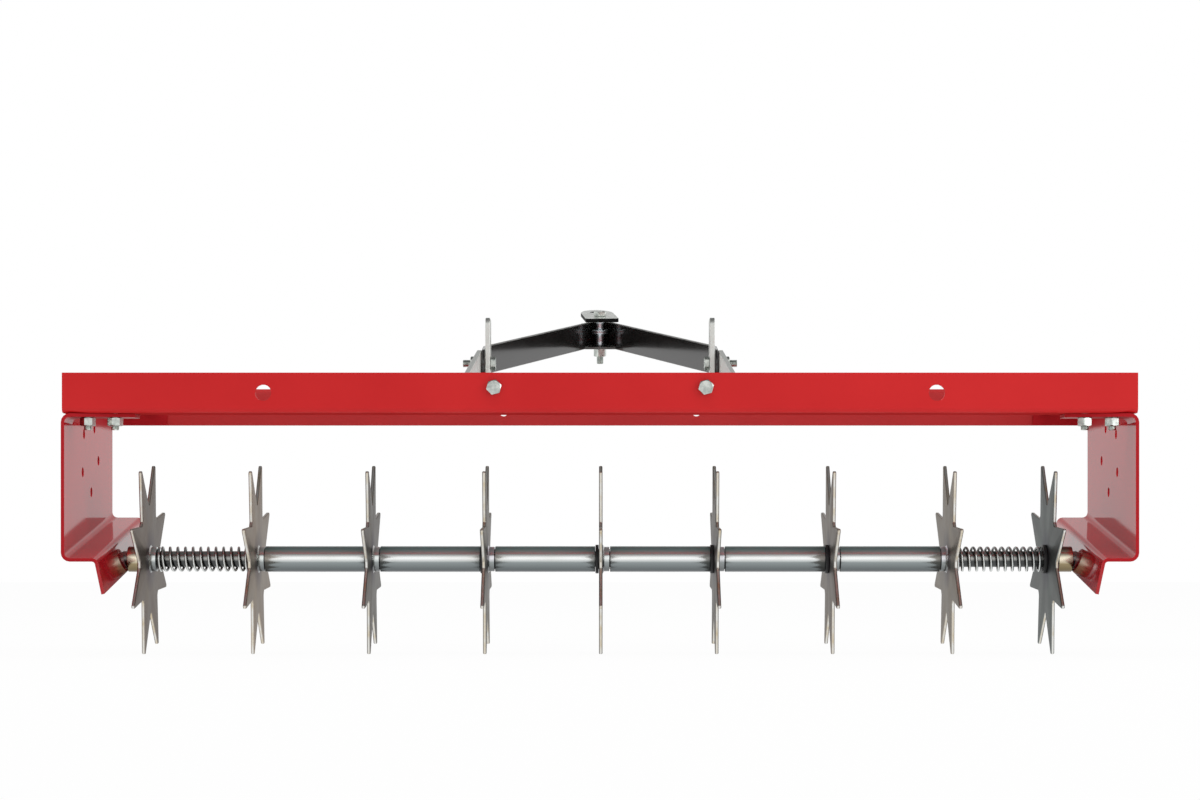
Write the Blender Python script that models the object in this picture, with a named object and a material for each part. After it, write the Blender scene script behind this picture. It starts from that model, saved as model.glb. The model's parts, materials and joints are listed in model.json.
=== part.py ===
"""Tow-behind spike aerator with nine star wheels.

Metres, +Z up, +X to the right, +Y the way it is towed. The model is laid out round the axle, which
runs along X through Y = 0, and is moved at the end so that it stands centred on the ground plane.
"""

import math

import bmesh
import bpy
import numpy as np
from mathutils import Vector

# Clearances
GAP = 0.0003            # between pieces that lie against each other
PIVOT_PLAY = 0.0003     # radial, round a shaft or pin that turns
BOLT_PLAY = 0.0005      # radial, round a bolt that clamps

# Star wheels and their hubs
STAR_POINTS = 8
STAR_TIP_RADIUS = 0.097
STAR_VALLEY_RADIUS = 0.054
STAR_TIP_WIDTH = 0.003
STAR_VALLEY_WIDTH = 0.006
STAR_PLATE = 0.0035
STAR_PHASE = math.radians(-16.5)
COLLAR_DIAMETER = 0.0244
COLLAR_LENGTH = 0.0067
BUSH_WALL = 0.0017
BUSH_FLANGE_DIAMETER = 0.0284
BUSH_FLANGE = 0.0032
BUSH_STANDOUT = 0.0005

# Axle and what it carries
AXLE_DIAMETER = 0.0159
AXLE_END_REACH = 0.0135         # past the bracket lip
AXLE_CHAMFER = 0.001
TUBE_DIAMETER = 0.0254
TUBE_WALL = 0.0025
SPACER_LENGTH = 0.0989
STACK_SHIFT = 0.0026            # the sprung middle wheels rest this far to the right
END_BUSHING_LENGTH = 0.0142
WHEEL_COUNT = 9
SPRING_WIRE = 0.0022
SPRING_DIAMETER = 0.0254
SPRING_PITCH = 0.0079
SPRING_CLOSED_PITCH = 0.0029
SPRING_CLOSED_TURNS = 1.0
SPRING_LEAD = 0.7 * SPRING_WIRE    # straight start of the wire, before it curls
COTTER_WIRE = 0.0032
COTTER_LEG = 0.013
COTTER_EYE_RADIUS = 0.004
COTTER_SETBACK = 0.0042         # from the lip's outer face

# Rails
RAIL_LENGTH = 1.016
RAIL_LEG = 0.038
RAIL_SHEET = 0.003
RAIL_BEND = 0.005               # outside
RAIL_SPACING = 0.238            # between the backs of the two upright legs
RAIL_TIE_HOLE_INSET = 0.0235    # from the outside of the tongue's arms
RAIL_TIE_EDGE = 0.014           # hole centre to the upright leg's free edge
RAIL_WEIGHT_HOLE_X = 0.318
RAIL_WEIGHT_HOLE = 0.0155

# End brackets
BRACKET_SHEET = 0.0032
BRACKET_BEND = 0.0085           # outside
BRACKET_OVERHANG = 0.001        # past the rail ends
BRACKET_TOP = 0.231
BRACKET_FLANGE = 0.068          # from the bracket's outer face
BRACKET_FLANGE_DEPTH = 0.038    # from the rear rail's face
BRACKET_CHAMFER = 0.012
BRACKET_BOLT_INSETS = (0.0485, 0.0225)      # from the bracket's outer face
BRACKET_BOLT_DEPTH = 0.0155     # from the rear rail's face
BRACKET_RELIEF = 0.002          # slit beside a fold
LEDGE_ABOVE_AXLE = 0.019        # underside of the lower flange, at the axle
LEDGE_SLOPE = math.radians(10)
LIP_ANGLE = math.radians(12)
LIP_LENGTH = 0.033
LIP_BEND = 0.0062               # outside
LIP_REACH = 0.033               # from the bracket's outer face to the lip bend
TAB_REACH = 0.060               # from the bracket's outer face
TAB_BELOW_RAIL_TOP = 0.006
TAB_BOLT_INSETS = (0.0455, 0.0225)          # from the bracket's outer face
LIGHTENING_HOLE = 0.0097
LIGHTENING_PLACES = ((-0.028, 0.2155), (0.023, 0.2235), (0.0435, 0.192), (-0.034, 0.178), (0.008, 0.1595))

# Axle height above the ground that the star tips reach
AXLE_HEIGHT = STAR_TIP_RADIUS * math.cos(STAR_PHASE)

# Bolts
BOLT_DIAMETER = 0.008
HEX_WIDTH = 0.013               # across flats
HEAD_HEIGHT = 0.0053
HEAD_CHAMFER = 0.001
NUT_HEIGHT = 0.008
BOLT_TIP = 0.0038               # past the nut
BOLT_TIP_TAPER = 0.0006
PIVOT_NUT_HEIGHT = 0.0065
PIVOT_BOLT_TIP = 0.0078
HITCH_NUT_HEIGHT = 0.0092
HITCH_BOLT_TIP = 0.0085

# Hitch: upright brackets, braces, tongue and plate
PIVOT_BEHIND_EDGE = 0.0185      # pivot to the front rail's front edge
PIVOT_ABOVE_RAIL = 0.0277
UPRIGHT_SHEET = 0.0048
UPRIGHT_WIDTH = 0.032
UPRIGHT_HEIGHT = 0.0744
UPRIGHT_FOOT = 0.034
UPRIGHT_BEND = 0.008            # outside
UPRIGHT_CORNER = 0.007
UPRIGHT_SPARE_HOLE = 0.031      # above the pivot
BRACE_HEIGHT = 0.028
BRACE_SHEET = 0.0048
BRACE_TAB = 0.041
BRACE_BEND = 0.009              # outside
TONGUE_HEIGHT = 0.030
TONGUE_SHEET = 0.004
TONGUE_HALF_WIDTH = 0.1235
TONGUE_SLOPE = math.radians(10.8)
TONGUE_STRAIGHT = 0.034
TONGUE_LENGTH = 0.302
TONGUE_NOSE_HALF = 0.0105
TONGUE_SHOULDER_BEND = 0.03
TONGUE_NOSE_BEND = 0.005
WEB_SHEET = 0.003
WEB_WIDTH = 0.0352
WEB_BEHIND_BOLT = 0.013
WEB_CORNER = 0.008
HITCH_BOLT_SETBACK = 0.015      # bolt to the tongue's front face
HITCH_PLATE = 0.0045
HITCH_PLATE_WIDTH = 0.038
HITCH_PLATE_LENGTH = 0.105
HITCH_PLATE_STRAIGHT = 0.068
HITCH_PLATE_TAIL = 0.031        # bolt to the near edge
HITCH_PLATE_CORNER = 0.004
HITCH_PIN_HOLE = 0.016
HITCH_PIN_PLACE = 0.078         # from the near edge
HITCH_SWIVEL = math.radians(5)
HITCH_SLEEVE_DIAMETER = 0.0104
HITCH_WASHER_DIAMETER = 0.020
HITCH_WASHER = 0.0044
HITCH_LOWER_SLEEVE = 0.0137
HITCH_UPPER_SLEEVE = 0.0105

# Facets
ROUND = 20
BOLT_ROUND = 12
HUB_ROUND = 16
HOLE_ROUND = 16
BEND_STEPS = 4
CURL_POINTS = 10
END_STEPS = 5
HITCH_NOSE_STEPS = 8
HITCH_CORNER_STEPS = 3
END_TURN = math.radians(80)     # how far round a rounded end runs before its flat tip
SHARP_EDGE = math.radians(35)
COTTER_STEPS = 10
COTTER_TURN = math.radians(30)  # between two points of the eye

# Finishes: sRGB colour, metallic, roughness
RED_POWDER_COAT = ((200, 48, 50), 0.0, 0.3)
GALVANISED = ((150, 150, 146), 1.0, 0.42)
BRIGHT_STEEL = ((165, 166, 168), 1.0, 0.35)
YELLOW_ZINC = ((200, 160, 86), 1.0, 0.35)
BLACK_PAINT = ((24, 24, 26), 0.0, 0.25)
BLACK_NYLON = ((28, 28, 29), 0.0, 0.5)

# Places that follow from the sizes above
AXLE_CENTRE = Vector((0.0, 0.0, AXLE_HEIGHT))
RAIL_BASE = BRACKET_TOP + GAP
RAIL_TOP = RAIL_BASE + RAIL_LEG
REAR_FACE = -RAIL_SPACING / 2 - RAIL_SHEET / 2
FRONT_BACK = RAIL_SPACING + REAR_FACE
BRACKET_FACE = RAIL_LENGTH / 2 + BRACKET_OVERHANG
TIE_HEIGHT = RAIL_TOP - RAIL_TIE_EDGE
RAIL_TIE_HOLE_X = TONGUE_HALF_WIDTH - RAIL_TIE_HOLE_INSET
BRACKET_BOLT_X = [BRACKET_FACE - inset for inset in BRACKET_BOLT_INSETS]
TAB_BOLT_X = [BRACKET_FACE - inset for inset in TAB_BOLT_INSETS]
PIVOT_Y = FRONT_BACK + RAIL_LEG - PIVOT_BEHIND_EDGE
PIVOT_Z = RAIL_TOP + PIVOT_ABOVE_RAIL
UPRIGHT_FACE = TONGUE_HALF_WIDTH - TONGUE_SHEET - GAP
BRACE_FACE = TONGUE_HALF_WIDTH + GAP
HITCH_BOLT_U = TONGUE_LENGTH - HITCH_BOLT_SETBACK
LIP_X = BRACKET_FACE - LIP_REACH


def srgb_to_linear(value):
    """One 0-255 sRGB channel as a linear value."""
    share = value / 255
    return share / 12.92 if share <= 0.04045 else ((share + 0.055) / 1.055) ** 2.4


def own_material(name, finish):
    """A Principled material for one sub-part."""
    colour, metallic, roughness = finish
    material = bpy.data.materials.new(name)
    material.use_nodes = True
    shader = material.node_tree.nodes["Principled BSDF"]
    shader.inputs["Base Color"].default_value = [srgb_to_linear(channel) for channel in colour] + [1.0]
    shader.inputs["Metallic"].default_value = metallic
    shader.inputs["Roughness"].default_value = roughness
    return material


def add_part(name, bm, finish, location=(0, 0, 0), rotation=(0, 0, 0), parent=None):
    """Links a finished bmesh as one sub-part with its faces turned out and round sides smooth."""
    bmesh.ops.recalc_face_normals(bm, faces=bm.faces)
    mesh = bpy.data.meshes.new(name)
    bm.to_mesh(mesh)
    bm.free()
    mesh.shade_smooth()
    mesh.set_sharp_from_angle(angle=SHARP_EDGE)
    mesh.materials.append(own_material(name, finish))
    part = bpy.data.objects.new(name, mesh)
    part.location = location
    part.rotation_euler = rotation
    part.parent = parent
    bpy.context.scene.collection.objects.link(part)
    return part


def add_empty(name, location, rotation=(0, 0, 0), parent=None):
    """An empty that carries the pieces of one joint."""
    empty = bpy.data.objects.new(name, None)
    empty.location = location
    empty.rotation_euler = rotation
    empty.parent = parent
    bpy.context.scene.collection.objects.link(empty)
    return empty


def skin(bm, rings, closed=False):
    """Joins rings of equal count by quads. A closed run joins up, an open one is capped."""
    rows = []
    for ring in rings:
        rows.append([bm.verts.new(point) for point in ring])
    pairs = list(zip(rows, rows[1:]))
    if closed:
        pairs.append((rows[-1], rows[0]))
    for near, far in pairs:
        for index in range(len(near)):
            following = (index + 1) % len(near)
            bm.faces.new((near[index], near[following], far[following], far[index]))
    if not closed:
        bm.faces.new(rows[0])
        bm.faces.new(rows[-1])


def circle(along, radius, count, offset=0.5):
    """Ring of points round the X axis, the first one offset by this share of a step."""
    angles = [math.tau * (index + offset) / count for index in range(count)]
    return [Vector((along, radius * math.cos(angle), radius * math.sin(angle))) for angle in angles]


def hexagon(along, width):
    """Hexagon round the X axis, with a point on each corner and on each flat's middle."""
    sector = math.tau / 6
    points = []
    for point in circle(along, 1.0, BOLT_ROUND, 0):
        angle = math.atan2(point.z, point.y)
        from_flat = (angle + sector / 2) % sector - sector / 2
        radius = width / 2 / math.cos(from_flat)
        points.append(Vector((along, radius * point.y, radius * point.z)))
    return points


def rounded_path(corners, radius, steps=BEND_STEPS):
    """Open line through the corners, each inner one rounded by an arc of this radius."""
    path = [Vector(corners[0])]
    for before, corner, after in zip(corners, corners[1:], corners[2:]):
        corner = Vector(corner)
        back = (Vector(before) - corner).normalized()
        ahead = (Vector(after) - corner).normalized()
        half = back.angle(ahead) / 2
        centre = corner + (back + ahead).normalized() * (radius / math.sin(half))
        start = corner + back * (radius / math.tan(half)) - centre
        end = corner + ahead * (radius / math.tan(half)) - centre
        first = math.atan2(start.y, start.x)
        turn = (math.atan2(end.y, end.x) - first + math.pi) % math.tau - math.pi
        for step in range(steps + 1):
            angle = first + turn * step / steps
            path.append(centre + radius * Vector((math.cos(angle), math.sin(angle))))
    path.append(Vector(corners[-1]))
    return path


def strip(bm, path, thickness, edges, place):
    """Bar of even thickness along a line. Each point's edges give its reach across the bar."""
    rings = []
    for index, point in enumerate(path):
        into = (point - path[index - 1]).normalized() if index else None
        out = (path[index + 1] - point).normalized() if index + 1 < len(path) else into
        into = into or out
        normal = (into + out).normalized().orthogonal()
        half = thickness / 2 / normal.dot(out.orthogonal())
        low, high = edges[index]
        one = point + normal * half
        other = point - normal * half
        rings.append([place(one, low), place(one, high), place(other, high), place(other, low)])
    skin(bm, rings)


def add_cutter(name, bm, target, operation="DIFFERENCE"):
    """A hidden shape that is cut out of, or joined to, its target."""
    bmesh.ops.recalc_face_normals(bm, faces=bm.faces)
    mesh = bpy.data.meshes.new(name)
    bm.to_mesh(mesh)
    bm.free()
    cutter = bpy.data.objects.new(name, mesh)
    cutter.hide_render = True
    cutter.display_type = "WIRE"
    cutter.parent = target.parent
    bpy.context.scene.collection.objects.link(cutter)
    modifier = target.modifiers.new(name, "BOOLEAN")
    modifier.operation = operation
    modifier.solver = "EXACT"
    modifier.object = cutter
    return cutter


def drill(target, holes, length=0.02):
    """Cuts round holes, each given by its centre, direction and diameter."""
    bm = bmesh.new()
    for centre, direction, diameter in holes:
        turn = Vector((1, 0, 0)).rotation_difference(Vector(direction))
        rings = [circle(end * length, diameter / 2, HOLE_ROUND) for end in (-0.5, 0.5)]
        skin(bm, [[turn @ point + Vector(centre) for point in ring] for ring in rings])
    return add_cutter(f"{target.name}_drill", bm, target)


def add_bolt(name, centre, direction, grip, parent=None, nut_height=NUT_HEIGHT, tip=BOLT_TIP):
    """Hex bolt with its nut. It clamps grip metres of sheet from the centre on, plus a gap each side."""
    bm = bmesh.new()
    shank = BOLT_DIAMETER / 2
    head = -GAP
    nut = grip + GAP
    nut_end = nut + nut_height
    rings = [circle(head - HEAD_HEIGHT, HEX_WIDTH / 2 - HEAD_CHAMFER / 2, BOLT_ROUND, 0)]
    rings.append(hexagon(head - HEAD_HEIGHT + HEAD_CHAMFER, HEX_WIDTH))
    rings.append(hexagon(head, HEX_WIDTH))
    rings.append(circle(head, shank, BOLT_ROUND, 0))
    rings.append(circle(nut, shank, BOLT_ROUND, 0))
    rings.append(hexagon(nut, HEX_WIDTH))
    rings.append(hexagon(nut_end, HEX_WIDTH))
    rings.append(circle(nut_end, shank, BOLT_ROUND, 0))
    rings.append(circle(nut_end + tip, shank - BOLT_TIP_TAPER, BOLT_ROUND, 0))
    skin(bm, rings)
    rotation = Vector((1, 0, 0)).rotation_difference(Vector(direction)).to_euler()
    return add_part(name, bm, BRIGHT_STEEL, centre, rotation, parent)


def add_tube(name, start, length, outer, bore, finish, count=ROUND, parent=None, rotation=(0, 0, 0)):
    """Plain tube that runs along X, or along its object's X, from start."""
    bm = bmesh.new()
    stations = ((0, outer), (length, outer), (length, bore), (0, bore))
    skin(bm, [circle(along, diameter / 2, count) for along, diameter in stations], closed=True)
    return add_part(name, bm, finish, start, rotation, parent)


def add_rail(name, corner, upright, leg_holes, upright_holes):
    """Folded angle. The upright leg runs from the corner up or down, the other leg runs forward."""
    half = RAIL_SHEET / 2
    corners = ((RAIL_LEG, half), (half, half), (half, RAIL_LEG))
    path = rounded_path(corners, RAIL_BEND - half)
    bm = bmesh.new()

    def place(point, along):
        return Vector((along, corner[0] + point.x, corner[1] + upright * point.y))

    strip(bm, path, RAIL_SHEET, [(-RAIL_LENGTH / 2, RAIL_LENGTH / 2)] * len(path), place)
    rail = add_part(name, bm, RED_POWDER_COAT)
    holes = []
    for x, y, diameter in leg_holes:
        holes += [(place(Vector((y, half)), side * x), (0, 0, 1), diameter) for side in (-1, 1)]
    for x, z, diameter in upright_holes:
        holes += [(place(Vector((half, z)), side * x), (0, 1, 0), diameter) for side in (-1, 1)]
    drill(rail, holes)
    return rail


def build_rails():
    """Rear rail with its free leg low, and the same angle turned over at the front."""
    hole = BOLT_DIAMETER + 2 * BOLT_PLAY
    tie = (RAIL_TIE_HOLE_X, RAIL_LEG - RAIL_TIE_EDGE, hole)
    weight = (RAIL_WEIGHT_HOLE_X, RAIL_LEG / 2, RAIL_WEIGHT_HOLE)
    bracket_holes = [(x, BRACKET_BOLT_DEPTH, hole) for x in BRACKET_BOLT_X]
    add_rail("rear_rail", (REAR_FACE, RAIL_BASE), 1, bracket_holes, [tie, weight])
    foot_hole = (RAIL_TIE_HOLE_X, PIVOT_Y - FRONT_BACK, hole)
    tab_holes = [(x, RAIL_TOP - tab_bolt_height(), hole) for x in TAB_BOLT_X]
    add_rail("front_rail", (FRONT_BACK, RAIL_TOP), -1, [foot_hole], [tie, weight] + tab_holes)


def tab_bolt_height():
    """Height of the bolts that hold the end brackets to the front rail."""
    return RAIL_BASE + RAIL_LEG / 2


def ledge_height(y):
    """Middle of the lower flange's sheet at this Y."""
    return AXLE_HEIGHT + LEDGE_ABOVE_AXLE + BRACKET_SHEET / 2 + y * math.tan(LEDGE_SLOPE)


def upper_section():
    """Middle line of the top flange and its bend, from the free end to the wall."""
    half = BRACKET_SHEET / 2
    wall = BRACKET_FACE - half
    top = BRACKET_TOP - half
    corners = ((BRACKET_FACE - BRACKET_FLANGE, top), (wall, top), (wall, AXLE_HEIGHT))
    return rounded_path(corners, BRACKET_BEND - half)[:-1]


def lower_section(y):
    """Middle line of the bracket's lower flange and lip at this Y, from its bend to the lip's edge."""
    half = BRACKET_SHEET / 2
    wall = BRACKET_FACE - half
    low = ledge_height(y)
    lip = (LIP_X - LIP_LENGTH * math.sin(LIP_ANGLE), low - LIP_LENGTH * math.cos(LIP_ANGLE))
    flange_bend = rounded_path(((wall, BRACKET_TOP), (wall, low), (LIP_X, low)), BRACKET_BEND - half)[1:-1]
    lip_bend = rounded_path(((wall, low), (LIP_X, low), lip), LIP_BEND - half)[1:]
    return flange_bend + lip_bend


def bracket_sheet(side):
    """Middle surface of an end bracket, as one folded strip.

    The wall's rear part folds over under the rear rail. Past a slit it goes on up between the rails,
    and its front end folds in against the front rail. The lower folds climb towards the front.
    """
    half = BRACKET_SHEET / 2
    fold = BRACKET_BEND - half
    wall = BRACKET_FACE - half
    front = FRONT_BACK - GAP
    flange_end = REAR_FACE + BRACKET_FLANGE_DEPTH
    fold_start = front - half - fold
    rows = (REAR_FACE, flange_end, flange_end + BRACKET_RELIEF, fold_start, front)
    rising = (RAIL_TOP - TAB_BELOW_RAIL_TOP, RAIL_BASE, RAIL_BASE - BRACKET_RELIEF)
    bm = bmesh.new()

    def sheet(columns, first, last):
        for row in range(first, last):
            for one, other in zip(columns, columns[1:]):
                bm.faces.new((one[row], other[row], other[row + 1], one[row + 1]))

    def column(place):
        return [bm.verts.new((side * place(y)[0], y, place(y)[1])) for y in rows]

    flange = [column(lambda y, point=point: point) for point in upper_section()]
    walls = [column(lambda y, z=z: (wall, z)) for z in rising]
    count = len(lower_section(0.0))
    lower = [column(lambda y, index=index: lower_section(y)[index]) for index in range(count)]
    flange[0][0].co.y += BRACKET_CHAMFER
    sheet(flange, 0, 1)
    sheet([flange[-1]] + lower, 0, len(rows) - 1)
    sheet(walls + [flange[-1]], 2, 3)
    sheet([walls[-1], flange[-1]], 3, 4)
    last = (walls[0][3], walls[1][3])
    turns = [math.pi / 2 * step / BEND_STEPS for step in range(1, BEND_STEPS + 1)]
    places = [(fold * (1 - math.cos(turn)), fold_start + fold * math.sin(turn)) for turn in turns]
    places.append((TAB_REACH - half, front - half))
    for inward, y in places:
        edge = [bm.verts.new((side * (wall - inward), y, z)) for z in rising[:2]]
        bm.faces.new((last[0], last[1], edge[1], edge[0]))
        last = edge
    unused = [vert for vert in bm.verts if not vert.link_faces]
    bmesh.ops.delete(bm, geom=unused, context="VERTS")
    return bm


def build_end_brackets():
    """Folded side plates. They hang from both rails and carry the axle in their lips."""
    hole = BOLT_DIAMETER + 2 * BOLT_PLAY
    for name, side in (("end_bracket_left", -1), ("end_bracket_right", 1)):
        bracket = add_part(name, bracket_sheet(side), RED_POWDER_COAT)
        shell = bracket.modifiers.new("sheet", "SOLIDIFY")
        shell.thickness = BRACKET_SHEET
        shell.offset = 0
        shell.use_even_offset = True
        holes = [(AXLE_CENTRE + Vector((side * LIP_X, 0, 0)), (1, 0, 0), AXLE_DIAMETER + 2 * PIVOT_PLAY)]
        for y, z in LIGHTENING_PLACES:
            holes.append(((side * BRACKET_FACE, y, z), (1, 0, 0), LIGHTENING_HOLE))
        for x in BRACKET_BOLT_X:
            holes.append(((side * x, REAR_FACE + BRACKET_BOLT_DEPTH, BRACKET_TOP), (0, 0, 1), hole))
        for x in TAB_BOLT_X:
            holes.append(((side * x, FRONT_BACK, tab_bolt_height()), (0, 1, 0), hole))
        drill(bracket, holes)


def build_bracket_bolts():
    """Two bolts down through the rear rail and two forward through the front rail on each side."""
    grip = RAIL_SHEET + GAP + BRACKET_SHEET
    number = 0
    for side in (-1, 1):
        for x in BRACKET_BOLT_X:
            number += 1
            top = (side * x, REAR_FACE + BRACKET_BOLT_DEPTH, RAIL_BASE + RAIL_SHEET)
            add_bolt(f"rear_bracket_bolt_{number}", top, (0, 0, -1), grip)
    number = 0
    for side in (-1, 1):
        for x in TAB_BOLT_X:
            number += 1
            front = (side * x, FRONT_BACK + RAIL_SHEET, tab_bolt_height())
            add_bolt(f"front_bracket_bolt_{number}", front, (0, -1, 0), grip)


def lip_face(z_offset):
    """How far out the lip's inner face stands at this height from the axle's centre line."""
    above = LEDGE_ABOVE_AXLE + BRACKET_SHEET / 2 - z_offset
    middle = LIP_X - above * math.tan(LIP_ANGLE)
    return middle - BRACKET_SHEET / 2 / math.cos(LIP_ANGLE)


def build_axle():
    """Round axle held in the lips by a cotter at each end."""
    outer_face = lip_face(0) + BRACKET_SHEET / math.cos(LIP_ANGLE)
    reach = outer_face + AXLE_END_REACH
    radius = AXLE_DIAMETER / 2
    bm = bmesh.new()
    stations = ((-reach, radius - AXLE_CHAMFER), (-reach + AXLE_CHAMFER, radius))
    stations += ((reach - AXLE_CHAMFER, radius), (reach, radius - AXLE_CHAMFER))
    skin(bm, [circle(along, size, ROUND) for along, size in stations])
    axle = add_part("axle", bm, BRIGHT_STEEL, AXLE_CENTRE)
    cotter_x = outer_face + COTTER_SETBACK
    holes = []
    for side in (-1, 1):
        holes.append((AXLE_CENTRE + Vector((side * cotter_x, 0, 0)), (0, 1, 0), COTTER_WIRE + 2 * PIVOT_PLAY))
    drill(axle, holes)
    add_cotter("axle_cotter_left", -cotter_x)
    add_cotter("axle_cotter_right", cotter_x)


def add_wire(name, points, wire, finish, location):
    """Tube of round wire along a line of points, with closed ends."""
    curve = bpy.data.curves.new(name, "CURVE")
    curve.dimensions = "3D"
    curve.bevel_depth = wire / 2
    curve.bevel_resolution = 1
    curve.use_fill_caps = True
    spline = curve.splines.new("POLY")
    spline.points.add(len(points) - 1)
    for target, point in zip(spline.points, points):
        target.co = (*point, 1.0)
    spline.use_smooth = True
    curve.materials.append(own_material(name, finish))
    part = bpy.data.objects.new(name, curve)
    part.location = location
    bpy.context.scene.collection.objects.link(part)
    return part


def add_cotter(name, x):
    """Straight pin through the axle, turned into an open eye behind it."""
    eye = -AXLE_DIAMETER / 2 - 2 * COTTER_EYE_RADIUS
    points = [Vector((0, COTTER_LEG, 0)), Vector((0, 0, 0))]
    for step in range(COTTER_STEPS):
        angle = -math.pi / 2 - COTTER_TURN * step
        rise = COTTER_EYE_RADIUS * (1 + math.sin(angle))
        points.append(Vector((0, eye + COTTER_EYE_RADIUS * math.cos(angle), rise)))
    add_wire(name, points, COTTER_WIRE, BRIGHT_STEEL, AXLE_CENTRE + Vector((x, 0, 0)))


def star_outline(along):
    """Ring of the star's outline: two points on each blunt tip and two in each valley."""
    tip = STAR_TIP_WIDTH / 2 / STAR_TIP_RADIUS
    valley = STAR_VALLEY_WIDTH / 2 / STAR_VALLEY_RADIUS
    step = math.tau / STAR_POINTS
    corners = ((-tip, STAR_TIP_RADIUS), (tip, STAR_TIP_RADIUS))
    corners += ((step / 2 - valley, STAR_VALLEY_RADIUS), (step / 2 + valley, STAR_VALLEY_RADIUS))
    points = []
    for tooth in range(STAR_POINTS):
        for offset, radius in corners:
            angle = tooth * step + offset
            points.append(star_place(along, radius, angle))
    return points


def star_circle(along, radius):
    """Ring of the hub with as many points as the star's outline, in step with it."""
    count = 4 * STAR_POINTS
    return [star_place(along, radius, math.tau * (index - 0.5) / count) for index in range(count)]


def star_place(along, radius, angle):
    """Point on the wheel, with the angle counted from straight down plus the rest phase."""
    angle += STAR_PHASE
    return Vector((along, radius * math.sin(angle), -radius * math.cos(angle)))


def add_star_wheel(number, x, facing):
    """Flat steel star with a welded collar that points along facing, and its flanged nylon bush."""
    half = STAR_PLATE / 2
    sleeve = AXLE_DIAMETER / 2 + PIVOT_PLAY + BUSH_WALL
    bore = sleeve + GAP
    collar = COLLAR_DIAMETER / 2
    end = half + COLLAR_LENGTH
    rings = [star_circle(-half, bore), star_outline(-half), star_outline(half)]
    rings += [star_circle(half, collar), star_circle(end, collar), star_circle(end, bore)]
    bm = bmesh.new()
    skin(bm, [[Vector((facing * p.x, p.y, p.z)) for p in ring] for ring in rings], closed=True)
    centre = AXLE_CENTRE + Vector((x, 0, 0))
    add_part(f"star_wheel_{number}", bm, BRIGHT_STEEL, centre)

    flange = BUSH_FLANGE_DIAMETER / 2
    back = -half - GAP
    bush_bore = sleeve - BUSH_WALL
    stations = ((back - BUSH_FLANGE, bush_bore), (back - BUSH_FLANGE, flange), (back, flange))
    stations += ((back, sleeve), (end + BUSH_STANDOUT, sleeve), (end + BUSH_STANDOUT, bush_bore))
    bm = bmesh.new()
    skin(bm, [circle(facing * along, radius, HUB_ROUND) for along, radius in stations], closed=True)
    add_part(f"hub_bush_{number}", bm, BLACK_NYLON, centre)


def spring_points(length):
    """Centre line of an open coil with closed end curls, from x = 0 to length."""
    radius = (SPRING_DIAMETER - SPRING_WIRE) / 2
    open_length = length - 2 * SPRING_WIRE - 2 * SPRING_CLOSED_TURNS * SPRING_CLOSED_PITCH
    open_turns = round(open_length / SPRING_PITCH)
    turns = open_turns + 2 * SPRING_CLOSED_TURNS
    count = round(turns * CURL_POINTS)
    points = [Vector((0, 0, radius)), Vector((SPRING_LEAD, 0, radius))]
    for index in range(count + 1):
        turn = turns * index / count
        closed = min(turn, SPRING_CLOSED_TURNS) + max(turn - SPRING_CLOSED_TURNS - open_turns, 0)
        opened = turn - closed
        x = SPRING_WIRE + closed * SPRING_CLOSED_PITCH + opened * open_length / open_turns
        angle = math.tau * turn
        points.append(Vector((x, -radius * math.sin(angle), radius * math.cos(angle))))
    points += [Vector((length - SPRING_LEAD, 0, radius)), Vector((length, 0, radius))]
    return points


def least_gap(points, wire):
    """Smallest space between stretches of the wire that lie more than half a curl apart."""
    places = np.array([tuple(point) for point in points])
    middles = (places[1:] + places[:-1]) / 2
    places = np.concatenate([places, middles])
    order = np.concatenate([np.arange(len(points)), np.arange(len(middles)) + 0.5])
    apart = np.abs(order[:, None] - order[None, :]) > CURL_POINTS / 2
    distance = np.linalg.norm(places[:, None] - places[None, :], axis=2)
    return distance[apart].min() - wire


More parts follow.
